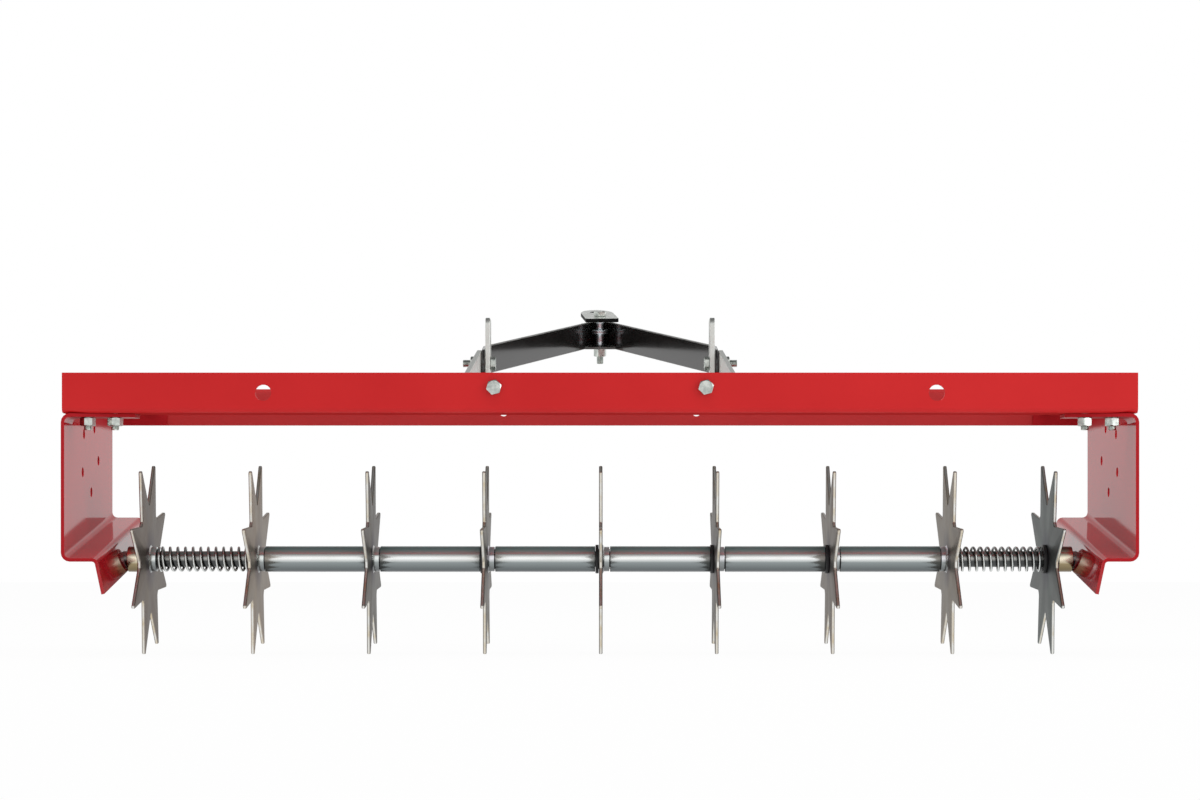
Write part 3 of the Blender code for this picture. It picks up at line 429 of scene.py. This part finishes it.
def yellow_zinc():
    """Yellow zinc on turned bushings: pale gold with a cloudy green and pink play of tint, with painted shade on the
    underside and a painted darker, reddish top.
    """
    tree = Tree("yellow_zinc")
    tint = tree.noise(60.0, detail=2.0)
    bright = tree.blend(tint.between(0.35, 0.65), srgb(250, 243, 218), srgb(252, 240, 216))
    # Painted shade: the colour darkens towards the underside
    painted_shade = tree.blend(underside_shade(tree, TUBE_RADIUS, 0.3, 0.9), srgb(158, 143, 111), srgb(112, 99, 75))
    lower = tree.blend(underside_shade(tree, TUBE_RADIUS, 0.06, 0.38), bright, painted_shade)
    # Painted shade on the top, tinted red
    colour = tree.blend(underside_shade(tree, TUBE_RADIUS, -0.8, -0.4), srgb(124, 84, 74), lower)
    grain = tree.noise(1400.0, tree.place(scale=(1, 0.04, 0.04)), detail=2.0)
    return tree.finish(Base_Color=colour, Metallic=1.0, Roughness=0.17 + grain * 0.1)


def black_nylon():
    """Moulded black nylon: matt, with a fine grain."""
    tree = Tree("black_nylon")
    grain = tree.noise(1500.0, detail=2.0)
    colour = tree.blend(grain, srgb(20, 20, 21), srgb(34, 34, 35))
    return tree.finish(Base_Color=colour, Roughness=0.42 + grain * 0.16, Normal=tree.bump(grain, 0.00004, 0.4))


def black_paint():
    """Gloss black paint on flat bar with a slight orange peel."""
    tree = Tree("black_paint")
    peel = tree.noise(700.0, detail=1.0)
    cloud = tree.noise(18.0, detail=3.0)
    colour = tree.blend(cloud, srgb(16, 15, 15), srgb(40, 38, 37))
    return tree.finish(Base_Color=colour, Roughness=0.1 + cloud * 0.06, Specular_IOR_Level=0.8,
                       Normal=tree.bump(peel, 0.00001, 0.2))


def edge_highlight_paint():
    """The same paint on the bar's rolled edges: grey, lighter in cloudy patches, and duller; the grey is a painted
    highlight for the light the edges catch.
    """
    tree = Tree("edge_highlight_paint")
    dust = tree.noise(90.0, detail=4.0).between(0.35, 0.7)
    # The grey is a painted highlight on the rounded edges
    colour = tree.blend(dust, srgb(80, 80, 78), srgb(128, 128, 125))
    return tree.finish(Base_Color=colour, Roughness=0.34 + dust * 0.1)


FINISHES = {
    "red_powder_coat": rail_coat("red_rear_coat", srgb(205, 24, 27), srgb(213, 30, 32), 0.28, 0.42),
    "galvanised": galvanised_bar("galvanised_bar", 0.0),
    "zinc_bolt": bolt_zinc(),
    "star_steel": star_zinc(),
    "tube_steel": tube_zinc(),
    "spring_steel": spring_wire(),
    "yellow_zinc": yellow_zinc(),
    "black_nylon": black_nylon(),
    "black_paint": black_paint(),
}
AXLE_STEEL = axle_steel()
COLLAR_ZINC = collar_zinc()
COIL_WIRE = coil_wire()
SLEEVE_ZINC = sleeve_zinc()
DARK_PLATE_EDGE = dark_plate_edge()
EDGE_HIGHLIGHT_PAINT = edge_highlight_paint()
HITCH_PLATE_ZINC = galvanised_bar("hitch_plate_zinc", 0.7)
# The front rail's red is darker than the rear rail's: painted shade
PAINTED_SHADE_FRONT_COAT = rail_coat("red_front_coat", srgb(188, 25, 28), srgb(196, 31, 34), 0.5, 0.34)
# The rear rail's downward faces: a pinker red without gloss, a painted reflection of the pale floor
PAINTED_REFLECTION_UNDERSIDE_COAT = rail_coat("red_underside_coat", srgb(188, 44, 44), srgb(196, 50, 50), 0.0, 0.6)
PAINTED_SHADE_BRACKET_COAT = bracket_coat()


def dress_nodes():
    """Gives every CAD node the finish of its slot, for those that stay in view."""
    for name, node in frame["nodes"].items():
        node.data.materials.clear()
        node.data.materials.append(FINISHES[SLOT_OF[name]])


def stand_for(piece, node, material=None):
    """Lets a fine piece take the place, the motion and the finish of its CAD node."""
    piece.data.materials.append(material or FINISHES[SLOT_OF[node]])
    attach(piece, BODY_OF[node])
    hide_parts(node)
    return piece


def link_mesh(name, mesh, sharp=40):
    """Links a mesh with its faces turned out, smooth but for edges sharper than the given degrees."""
    bm = bmesh.new()
    bm.from_mesh(mesh)
    bmesh.ops.recalc_face_normals(bm, faces=bm.faces)
    bm.to_mesh(mesh)
    bm.free()
    mesh.shade_smooth()
    mesh.set_sharp_from_angle(angle=math.radians(sharp))
    piece = bpy.data.objects.new(name, mesh)
    bpy.context.scene.collection.objects.link(piece)
    return piece


def surface(name, rows, closed, sharp=40):
    """Skin over a grid of points: each row is a ring, and the rows join up or end in flat caps."""
    count, around = rows.shape[:2]
    index = np.arange(count * around).reshape(count, around)
    following = np.roll(index, -1, axis=1)
    ahead = np.roll(index, -1, axis=0)
    ahead_following = np.roll(following, -1, axis=0)
    quads = np.stack([index, following, ahead_following, ahead], axis=-1)
    faces = quads[:count if closed else count - 1].reshape(-1, 4).tolist()
    if not closed:
        faces += [index[0, ::-1].tolist(), index[-1].tolist()]
    mesh = bpy.data.meshes.new(name)
    mesh.from_pydata(rows.reshape(-1, 3).tolist(), [], faces)
    return link_mesh(name, mesh, sharp)


def rounded(points, radius, steps=3, closed=True):
    """Line with its corners rounded: at a corner P between A and B, each at most radius away along
    the sides, the points (1-t)^2 A + 2t(1-t) P + t^2 B. An open line keeps its two ends."""
    points = np.asarray(points, dtype=float)
    before = np.roll(points, 1, axis=0) - points
    after = np.roll(points, -1, axis=0) - points
    lengths = [np.linalg.norm(side, axis=1, keepdims=True) for side in (before, after)]
    start = points + before * np.minimum(radius / lengths[0], 0.45)
    end = points + after * np.minimum(radius / lengths[1], 0.45)
    share = np.linspace(0, 1, steps + 1)[None, :, None]
    curve = (1 - share) ** 2 * start[:, None] + 2 * share * (1 - share) * points[:, None] + share ** 2 * end[:, None]
    if closed:
        return curve.reshape(-1, 2)
    return np.concatenate([points[:1], curve[1:-1].reshape(-1, 2), points[-1:]])


def across(direction):
    """The direction as a unit array and two unit arrays square to it."""
    along = np.array(Vector(direction).normalized())
    one = np.array(Vector(direction).orthogonal().normalized()) if abs(along[0]) < 0.9 else np.array([0.0, 1.0, 0.0])
    return along, one, np.cross(along, one)


def rings(centre, direction, alongs, radii, angles):
    """Grid of points: row i, column j stands alongs[i] down the axis and radii[i, j] out at angles[j].
    Alongs may also differ from column to column."""
    along, one, other = across(direction)
    out = np.cos(angles)[:, None] * one + np.sin(angles)[:, None] * other
    radii = np.broadcast_to(radii, (len(radii), len(angles)))
    alongs = np.broadcast_to(alongs, radii.shape)
    return np.asarray(centre) + alongs[..., None] * along + radii[..., None] * out


def turned(name, profile, centre, direction=(1, 0, 0), closed=True):
    """Body of revolution: the profile's points (distance along the axis, radius) swept round the axis."""
    angles = np.arange(ROUND) * math.tau / ROUND
    return surface(name, rings(centre, direction, profile[:, :1], profile[:, 1:], angles), closed)


def ring_profile(length, outer, bore, edge):
    """Closed rectangle of a tube's wall from -length/2 to length/2, with its corners rounded by edge."""
    half = length / 2
    return rounded([(-half, outer), (half, outer), (half, bore), (-half, bore)], edge)


def build_tubes():
    """Spacer tubes and end bushings as smooth rings, and the axle as a chamfered bar."""
    for node in frame["nodes"]:
        if node.startswith(("spacer_tube", "axle_bushing")):
            low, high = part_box(node)
            bore = BUSHING_BORE if "bushing" in node else TUBE_RADIUS - TUBE_WALL
            profile = ring_profile(high[0] - low[0], TUBE_RADIUS, bore, 0.0006)
            middle = (node_middle(node)[0], AXLE[1], AXLE[2])
            stand_for(turned(f"{node}_ring", profile, middle), node)
    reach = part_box("axle")[1][0]
    chamfer = 0.001
    points = [(-reach, 0.0006), (-reach, AXLE_RADIUS - chamfer), (-reach + chamfer, AXLE_RADIUS)]
    points += [(-along, radius) for along, radius in reversed(points)]
    bar = turned("axle_bar", rounded(points, 0.0004, closed=False), AXLE, closed=False)
    stand_for(bar, "axle", AXLE_STEEL)


def star_outline():
    """Points of the star in its own plane: blunt tips and flat valleys, the corners a little rounded. A
    corner at angle a from straight down stands at (R sin a, -R cos a), R being the tip's or the valley's."""
    step = math.tau / STAR_POINTS
    tip = STAR_TIP_WIDTH / 2 / STAR_TIP_RADIUS
    valley = STAR_VALLEY_WIDTH / 2 / STAR_VALLEY_RADIUS
    offsets = np.array([-tip, tip, step / 2 - valley, step / 2 + valley])
    radii = np.tile([STAR_TIP_RADIUS, STAR_TIP_RADIUS, STAR_VALLEY_RADIUS, STAR_VALLEY_RADIUS], STAR_POINTS)
    angles = (np.arange(STAR_POINTS)[:, None] * step + offsets[None]).ravel() + STAR_PHASE
    corners = np.stack([radii * np.sin(angles), -radii * np.cos(angles)], axis=1)
    return rounded(corners, 0.0012, 4)


def inset(outline, distance):
    """The outline moved inwards by a distance: a point between sides with unit normals m and n goes by the
    distance times (m + n) / (1 + m.n), so that both sides move by the same."""
    sides = np.roll(outline, -1, axis=0) - outline
    normals = np.stack([-sides[:, 1], sides[:, 0]], axis=1) / np.linalg.norm(sides, axis=1, keepdims=True)
    earlier = np.roll(normals, 1, axis=0)
    share = 1 + (normals * earlier).sum(1, keepdims=True)
    return outline + distance * (normals + earlier) / share


def facing_of(node):
    """-1 on the wheel that is put on the other way round, 1 on the rest."""
    return -1 if node.endswith(f"_{REVERSED_WHEEL}") else 1


def build_star_wheels():
    """Each wheel: a flat star with rolled edges, and a collar joined to it by a rippled weld bead.

    Its grid's rows are stations, each a place along the axle and a line of points about it. They go from the
    bore out over the star's plain side, a quarter circle at each edge, back in to the weld and the collar,
    and through the bore. The bead stands out by its height times one plus a rippled sine of the angle.
    """
    outline = star_outline()
    angles = np.arctan2(outline[:, 1], outline[:, 0])
    unit = np.stack([np.cos(angles), np.sin(angles)], axis=1)
    ripple = 1 + 0.35 * np.abs(np.sin(14 * angles))[:, None]
    half = STAR_PLATE / 2
    edge = 0.0004
    bead = 0.0016
    end = half + COLLAR_LENGTH
    rolled = [(-half + STAR_ROLL * (1 - math.cos(turn)), inset(outline, STAR_ROLL * (1 - math.sin(turn))))
              for turn in np.linspace(0, math.pi / 2, 5)]
    stations = [(-half, unit * (COLLAR_BORE + edge)), *rolled]
    stations += [(-along, ring) for along, ring in reversed(rolled)]
    collar_from = len(stations) + 1
    stations += [(half, unit * (COLLAR_RADIUS + bead * 1.6))]
    stations += [(half + bead * 0.3, unit * (COLLAR_RADIUS + bead * 0.75 * ripple))]
    stations += [(half + bead * 0.8, unit * (COLLAR_RADIUS + bead * 0.25 * ripple))]
    stations += [(half + bead * 1.1, unit * COLLAR_RADIUS), (end - edge, unit * COLLAR_RADIUS)]
    stations += [(end - edge * 0.3, unit * (COLLAR_RADIUS - edge * 0.3)), (end, unit * (COLLAR_RADIUS - edge))]
    stations += [(end, unit * (COLLAR_BORE + edge)), (end - edge, unit * COLLAR_BORE)]
    stations += [(-half + edge, unit * COLLAR_BORE)]
    flat = np.array([ring for _, ring in stations])
    alongs = np.array([along for along, _ in stations])
    station = np.repeat(np.arange(len(stations)), len(outline))
    # The cut mark covers only the edge's middle rows, where the painted highlight goes
    cut = np.isin(station, (len(rolled), len(rolled) + 1)).astype(np.float32)
    collar_faces = station >= collar_from
    for node in frame["nodes"]:
        if node.startswith("star_wheel"):
            facing = facing_of(node)
            low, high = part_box(node)
            plate = low[0] + half if facing == 1 else high[0] - half
            grid = np.empty(flat.shape[:2] + (3,))
            grid[..., 0] = plate + facing * alongs[:, None]
            grid[..., 1:] = AXLE[1:] + flat
            piece = stand_for(surface(f"{node}_plate", grid, True, 35), node)
            piece.data.materials.append(COLLAR_ZINC)
            piece.data.polygons.foreach_set("material_index", collar_faces.astype(np.int32))
            warmth, depth = WHEEL_ZINC[int(node[-1]) - 1]
            for label, values in (("cut", cut), ("warmth", cut * 0 + warmth), ("depth", cut * 0 + depth)):
                piece.data.attributes.new(label, "FLOAT", "POINT").data.foreach_set("value", values)


def build_hub_bushes():
    """Flanged nylon bushes: a thin sleeve and a flange with softened edges."""
    for node in frame["nodes"]:
        if node.startswith("hub_bush"):
            facing = facing_of(node)
            low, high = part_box(node)
            length = high[0] - low[0]
            corners = [(0, BUSHING_BORE), (0, HUB_FLANGE), (HUB_FLANGE_THICKNESS, HUB_FLANGE)]
            corners += [(HUB_FLANGE_THICKNESS, HUB_SLEEVE), (length, HUB_SLEEVE), (length, BUSHING_BORE)]
            start = (low[0] if facing == 1 else high[0], AXLE[1], AXLE[2])
            profile = rounded(corners, 0.0005)
            stand_for(turned(f"{node}_moulding", profile, start, (facing, 0, 0)), node)


def wire(name, points, radius):
    """Round wire along a line, with capped ends: at each point a ring square to the line. Each point has
    its place and a direction, which the ring's first axis follows as far as it is square to the line."""
    centres, reference = points[:, :3], points[:, 3:]
    tangent = np.gradient(centres, axis=0)
    tangent /= np.linalg.norm(tangent, axis=1, keepdims=True)
    one = reference - (reference * tangent).sum(1, keepdims=True) * tangent
    one /= np.linalg.norm(one, axis=1, keepdims=True)
    other = np.cross(tangent, one)
    angles = np.arange(WIRE_SIDES) * math.tau / WIRE_SIDES
    grid = np.cos(angles)[None, :, None] * one[:, None] + np.sin(angles)[None, :, None] * other[:, None]
    rounding = np.ones(len(points))
    rounding[[0, -1]] = 0.75
    return surface(name, centres[:, None] + radius * rounding[:, None, None] * grid, False, 60)


def coil_points(start, length):
    """Centre line of a spring: x climbs at the closed pitch over the first and last turn and at the open
    pitch between, with a weighted mean over the change, while (y, z) go round as (-R sin, R cos). The last
    three columns point away from the axle."""
    radius = (SPRING_DIAMETER - SPRING_WIRE) / 2
    lead = SPRING_WIRE * 0.62
    open_length = length - 2 * lead - 2 * SPRING_CLOSED_PITCH
    turns = SPRING_OPEN_TURNS + 2
    turn = np.linspace(0, turns, turns * COIL_STEPS + 1)
    closed = np.minimum(turn, 1) + np.maximum(turn - 1 - SPRING_OPEN_TURNS, 0)
    x = lead + closed * SPRING_CLOSED_PITCH + (turn - closed) * open_length / SPRING_OPEN_TURNS
    reach = 5
    weights = np.hanning(2 * reach + 1)
    x = np.convolve(np.pad(x, reach, mode="reflect", reflect_type="odd"), weights / weights.sum(), mode="valid")
    angle = turn * math.tau
    out = np.stack([np.zeros_like(angle), -np.sin(angle), np.cos(angle)], axis=1)
    centres = np.array([start, AXLE[1], AXLE[2]]) + radius * out
    centres[:, 0] += x
    return np.concatenate([centres, out], axis=1)


def build_wires():
    """Both springs, and the hairpin cotters through the axle's ends: a straight leg along y, and an eye of
    three quarters of a circle about (eye, R), on which y = eye + R cos and z = R - R sin."""
    for node in ("spring_left", "spring_right"):
        low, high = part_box(node)
        coil = wire(f"{node}_coil", coil_points(low[0], high[0] - low[0]), SPRING_WIRE / 2)
        stand_for(coil, node, COIL_WIRE)
    eye = -AXLE_RADIUS - 2 * COTTER_EYE_RADIUS
    turn = np.linspace(math.pi / 2, math.pi / 2 + math.radians(270), 28)
    straight = np.linspace(COTTER_LEG, eye + COTTER_EYE_RADIUS * 0.6, 12)
    y = np.concatenate([straight, eye + COTTER_EYE_RADIUS * np.cos(turn)])
    z = np.concatenate([straight * 0, COTTER_EYE_RADIUS * (1 - np.sin(turn))])
    for node in ("axle_cotter_left", "axle_cotter_right"):
        x = node_middle(node)[0]
        centres = np.stack([np.full_like(y, x), AXLE[1] + y, AXLE[2] + z], axis=1)
        reference = np.tile([1.0, 0.0, 0.0], (len(y), 1))
        stand_for(wire(f"{node}_pin", np.concatenate([centres, reference], axis=1), COTTER_WIRE / 2), node)


def hex_bolt(name, head, direction, length, nut_height, tip_length):
    """Hex bolt with its nut, from the head's top to the thread's end. Its grid's rows are pairs of a
    distance along the bolt and a radius, each given all round.

    A hexagon's radius at an angle is half its width over the cosine of the angle from the nearest
    flat. Its chamfer falls away at 30 degrees from a circle a little inside the flats. The thread takes
    from the radius its depth times a wave of the distance along it over the pitch, less the angle.
    """
    angles = np.arange(BOLT_ROUND) * math.tau / BOLT_ROUND
    sector = math.tau / 6
    from_flat = (angles + sector / 2) % sector - sector / 2
    hexagon = HEX_WIDTH / 2 / np.cos(from_flat)
    soft = np.minimum(hexagon, HEX_WIDTH / 2 * 1.14)
    inner = HEX_WIDTH / 2 * 0.94
    fall = (soft - inner) * math.tan(math.radians(30))
    even = np.ones(BOLT_ROUND)
    shank = even * BOLT_RADIUS
    rim = 0.0002
    nut = length - tip_length - nut_height
    nut_end = nut + nut_height
    rows = [(even * 0, shank * 0.2), (even * 0, even * inner), (fall, soft)]
    rows += [(even * (HEAD_HEIGHT - rim), soft), (even * HEAD_HEIGHT, soft - rim), (even * HEAD_HEIGHT, shank)]
    rows += [(even * nut, shank), (even * nut, even * inner), (nut + fall, soft), (nut_end - fall, soft)]
    rows += [(even * nut_end, even * inner), (even * nut_end, shank * 1.08)]
    rows += [(even * (nut_end - 0.0006), shank * 0.98)]
    steps = max(int(tip_length / THREAD_PITCH * THREAD_STEPS), 4)
    along = np.linspace(0, tip_length - 0.0004, steps)[:, None] * even
    wave = 0.5 + 0.5 * np.cos(math.tau * along / THREAD_PITCH - angles)
    alongs = np.concatenate([[row[0] for row in rows], nut_end + along, [even * length]])
    radii = np.concatenate([[row[1] for row in rows], shank - THREAD_DEPTH * wave, [shank * 0.82]])
    return surface(name, rings(head, direction, alongs, radii, angles), False, 28)


def build_bolts():
    """Every bolt, by its node's box along its own direction, from the head's side to the thread's."""
    kinds = (("rear_bracket_bolt", (0, 0, -1), NUT_HEIGHT, BOLT_TIP),
             ("front_bracket_bolt", (0, -1, 0), NUT_HEIGHT, BOLT_TIP),
             ("foot_bolt", (0, 0, -1), NUT_HEIGHT, BOLT_TIP),
             ("brace_bolt", (0, 1, 0), NUT_HEIGHT, BOLT_TIP),
             ("pivot_bolt_left", (-1, 0, 0), PIVOT_NUT_HEIGHT, PIVOT_BOLT_TIP),
             ("pivot_bolt_right", (1, 0, 0), PIVOT_NUT_HEIGHT, PIVOT_BOLT_TIP))
    for node in frame["nodes"]:
        for prefix, direction, nut_height, tip_length in kinds:
            if node.startswith(prefix):
                low, high = (np.array(corner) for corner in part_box(node))
                way = np.array(direction, dtype=float)
                length = float((high - low) @ np.abs(way))
                head = (low + high) / 2 - way * length / 2
                stand_for(hex_bolt(f"{node}_hex", head, direction, length, nut_height, tip_length), node)


def tongue_place(u, w):
    """Point in the tongue's middle plane, u along the tongue from the pivots and w square to it."""
    pivot = node_middle("pivot_bolt_left") * [0, 1, 1]
    return pivot + [0, u * math.cos(TONGUE_SLOPE) - w * math.sin(TONGUE_SLOPE),
                    u * math.sin(TONGUE_SLOPE) + w * math.cos(TONGUE_SLOPE)]


def build_hitch_stack():
    """Sleeves and washer on the hitch bolt, and the bolt itself, all square to the tongue."""
    stack = (("hitch_sleeve_lower", HITCH_LOWER_SLEEVE, HITCH_SLEEVE_RADIUS),
             ("hitch_washer", HITCH_WASHER, HITCH_WASHER_RADIUS),
             ("hitch_sleeve_upper", HITCH_UPPER_SLEEVE, HITCH_SLEEVE_RADIUS))
    w = WEB_TOP + CLEARANCE
    for node, length, outer in stack:
        centre = tongue_place(HITCH_BOLT_U, w + length / 2)
        profile = ring_profile(length, outer, BOLT_RADIUS + CLEARANCE, 0.0004)
        stand_for(turned(f"{node}_ring", profile, centre, TONGUE_UP), node, SLEEVE_ZINC)
        w += length + CLEARANCE
    head = tongue_place(HITCH_BOLT_U, w + HITCH_PLATE + CLEARANCE + HEAD_HEIGHT)
    down = tuple(-value for value in TONGUE_UP)
    grip = w + HITCH_PLATE - WEB_TOP + WEB_SHEET
    length = HEAD_HEIGHT + CLEARANCE + grip + CLEARANCE + HITCH_NUT_HEIGHT + HITCH_BOLT_TIP
    bolt = hex_bolt("hitch_bolt_hex", head, down, length, HITCH_NUT_HEIGHT, HITCH_BOLT_TIP)
    stand_for(bolt, "hitch_bolt")


def soften(node, width=0.0005, material=None, inside=1.0):
    """Copy of a folded or flat sheet's solid, joined into whole faces, with rounded cut edges. Where faces
    meet at less than 34 degrees nothing is rounded, and an inside corner gets a share of the width."""
    mesh = frame["nodes"][node].data.copy()
    bm = bmesh.new()
    bm.from_mesh(mesh)
    bmesh.ops.remove_doubles(bm, verts=bm.verts, dist=0.000002)
    bmesh.ops.dissolve_limit(bm, angle_limit=math.radians(1), verts=bm.verts, edges=bm.edges)
    bmesh.ops.recalc_face_normals(bm, faces=bm.faces)
    share = bm.edges.layers.float.new("bevel_weight_edge")
    for edge in bm.edges:
        fold = math.degrees(edge.calc_face_angle_signed(0.0))
        edge[share] = 0.0 if abs(fold) < 34 else 1.0 if fold > 0 else inside
    bm.to_mesh(mesh)
    bm.free()
    mesh.materials.clear()
    piece = link_mesh(f"{node}_sheet", mesh, 34)
    bevel = piece.modifiers.new("edge", "BEVEL")
    bevel.width = width
    bevel.segments = 2
    bevel.limit_method = "WEIGHT"
    shade = piece.modifiers.new("shade", "WEIGHTED_NORMAL")
    shade.keep_sharp = False
    return stand_for(piece, node, material)


def coat_faces(piece, material, direction, low, high):
    """Gives a second material to the faces whose normals' share along a direction lies between two limits."""
    mesh = piece.data
    mesh.materials.append(material)
    normals = np.empty((len(mesh.polygons), 3), dtype=np.float32)
    mesh.polygons.foreach_get("normal", normals.ravel())
    share = normals @ np.array(direction)
    mesh.polygons.foreach_set("material_index", ((share > low) & (share < high)).astype(np.int32))


def build_sheets():
    """Rails, end brackets, hitch brackets, braces, tongue and hitch plate. The rear rail's downward faces
    have a coat of their own with a painted reflection, the hitch plate's edges are near black, and the tongue's
    rounded edges carry a painted highlight."""
    coat_faces(soften("rear_rail"), PAINTED_REFLECTION_UNDERSIDE_COAT, (0, 0, 1), -2, -0.9)
    soften("front_rail", material=PAINTED_SHADE_FRONT_COAT)
    tongue = soften("tongue", 0.001, inside=0.4)
    # Painted highlight on the tongue's rounded edges
    tongue.data.materials.append(EDGE_HIGHLIGHT_PAINT)
    tongue.modifiers["edge"].material = 1
    tongue.modifiers["edge"].use_clamp_overlap = False
    for node in ("end_bracket_left", "end_bracket_right"):
        soften(node, material=PAINTED_SHADE_BRACKET_COAT)
    for node in ("hitch_bracket_left", "hitch_bracket_right", "brace_left", "brace_right"):
        soften(node, 0.0007)
    coat_faces(soften("hitch_plate", material=HITCH_PLATE_ZINC), DARK_PLATE_EDGE, TONGUE_UP, -0.5, 0.5)


def light_object():
    """Backdrop that is white to the camera and in reflections up to a dim ceiling, and even light else."""
    tree = Tree("studio", world=True)
    bpy.context.scene.world = tree.owner
    way = tree.node("ShaderNodeTexCoord", {}, {}, "Generated")
    height = tree.node("ShaderNodeSeparateXYZ", {}, {0: way}, "Z")
    backdrop = 1 - height.between(CEILING_FROM, CEILING_FULL) * (1 - CEILING_LIGHT)
    strength = (backdrop - EVEN_LIGHT) * tree.shown() + EVEN_LIGHT
    tree.finish(Color=(1.0, 1.0, 1.0, 1.0), Strength=strength)


def lay_floor():
    """Pale floor that shows white to the camera and in reflections, and still takes the machine's shadow."""
    half = 6.0
    mesh = bpy.data.meshes.new("floor")
    ground = -0.0004
    mesh.from_pydata([(-half, -half, ground), (half, -half, ground), (half, half, ground), (-half, half, ground)],
                     [], [(0, 1, 2, 3)])
    floor = bpy.data.objects.new("floor", mesh)
    bpy.context.scene.collection.objects.link(floor)
    tree = Tree("pale_floor")
    mesh.materials.append(tree.finish(Base_Color=(0.9, 0.9, 0.9, 1.0), Roughness=0.9))
    matt = Value(tree, tree.shader.outputs[0])
    white = tree.node("ShaderNodeEmission", {}, {})
    mixed = tree.node("ShaderNodeMixShader", {}, {0: tree.shown() * FLOOR_WHITE, 1: matt, 2: white})
    tree.wire(tree.nodes["Material Output"], {"Surface": mixed})


def set_camera():
    """Level camera with the photograph's framing kept by a vertical shift."""
    data = bpy.data.cameras.new("camera")
    data.sensor_width = SENSOR
    data.lens = SENSOR * FOCAL_PIXELS / PHOTO_WIDTH
    data.shift_y = HORIZON_BELOW_MIDDLE / PHOTO_WIDTH
    data.clip_end = 50.0
    camera = bpy.data.objects.new("camera", data)
    camera.location = Vector(AXLE) + Vector((0, -CAMERA_DISTANCE, CAMERA_ABOVE_AXLE))
    camera.rotation_euler = (math.pi / 2, 0, 0)
    bpy.context.scene.collection.objects.link(camera)
    bpy.context.scene.camera = camera


def area_lamp(name, place, target, size, watts, mirrored=True):
    """Soft rectangular lamp at a place, turned to its target, that metal may or may not mirror."""
    data = bpy.data.lights.new(name, "AREA")
    data.shape = "RECTANGLE"
    data.size, data.size_y = size
    data.energy = watts
    lamp = bpy.data.objects.new(name, data)
    lamp.location = place
    lamp.rotation_euler = (Vector(target) - Vector(place)).to_track_quat("-Z", "Y").to_euler()
    lamp.visible_glossy = mirrored
    bpy.context.scene.collection.objects.link(lamp)


dress_nodes()
build_sheets()
build_tubes()
build_star_wheels()
build_hub_bushes()
build_wires()
build_bolts()
build_hitch_stack()
light_object()
area_lamp("overhead", place=(0.0, -0.6, 2.4), target=(0.0, -0.1, 0.2), size=(3.2, 1.6), watts=26.0, mirrored=False)
area_lamp("right_front", place=(2.3, -1.9, 1.0), target=(0.2, -0.2, 0.15), size=(1.2, 1.6), watts=14.0)
lay_floor()
set_camera()
bpy.context.scene.view_settings.view_transform = "Standard"
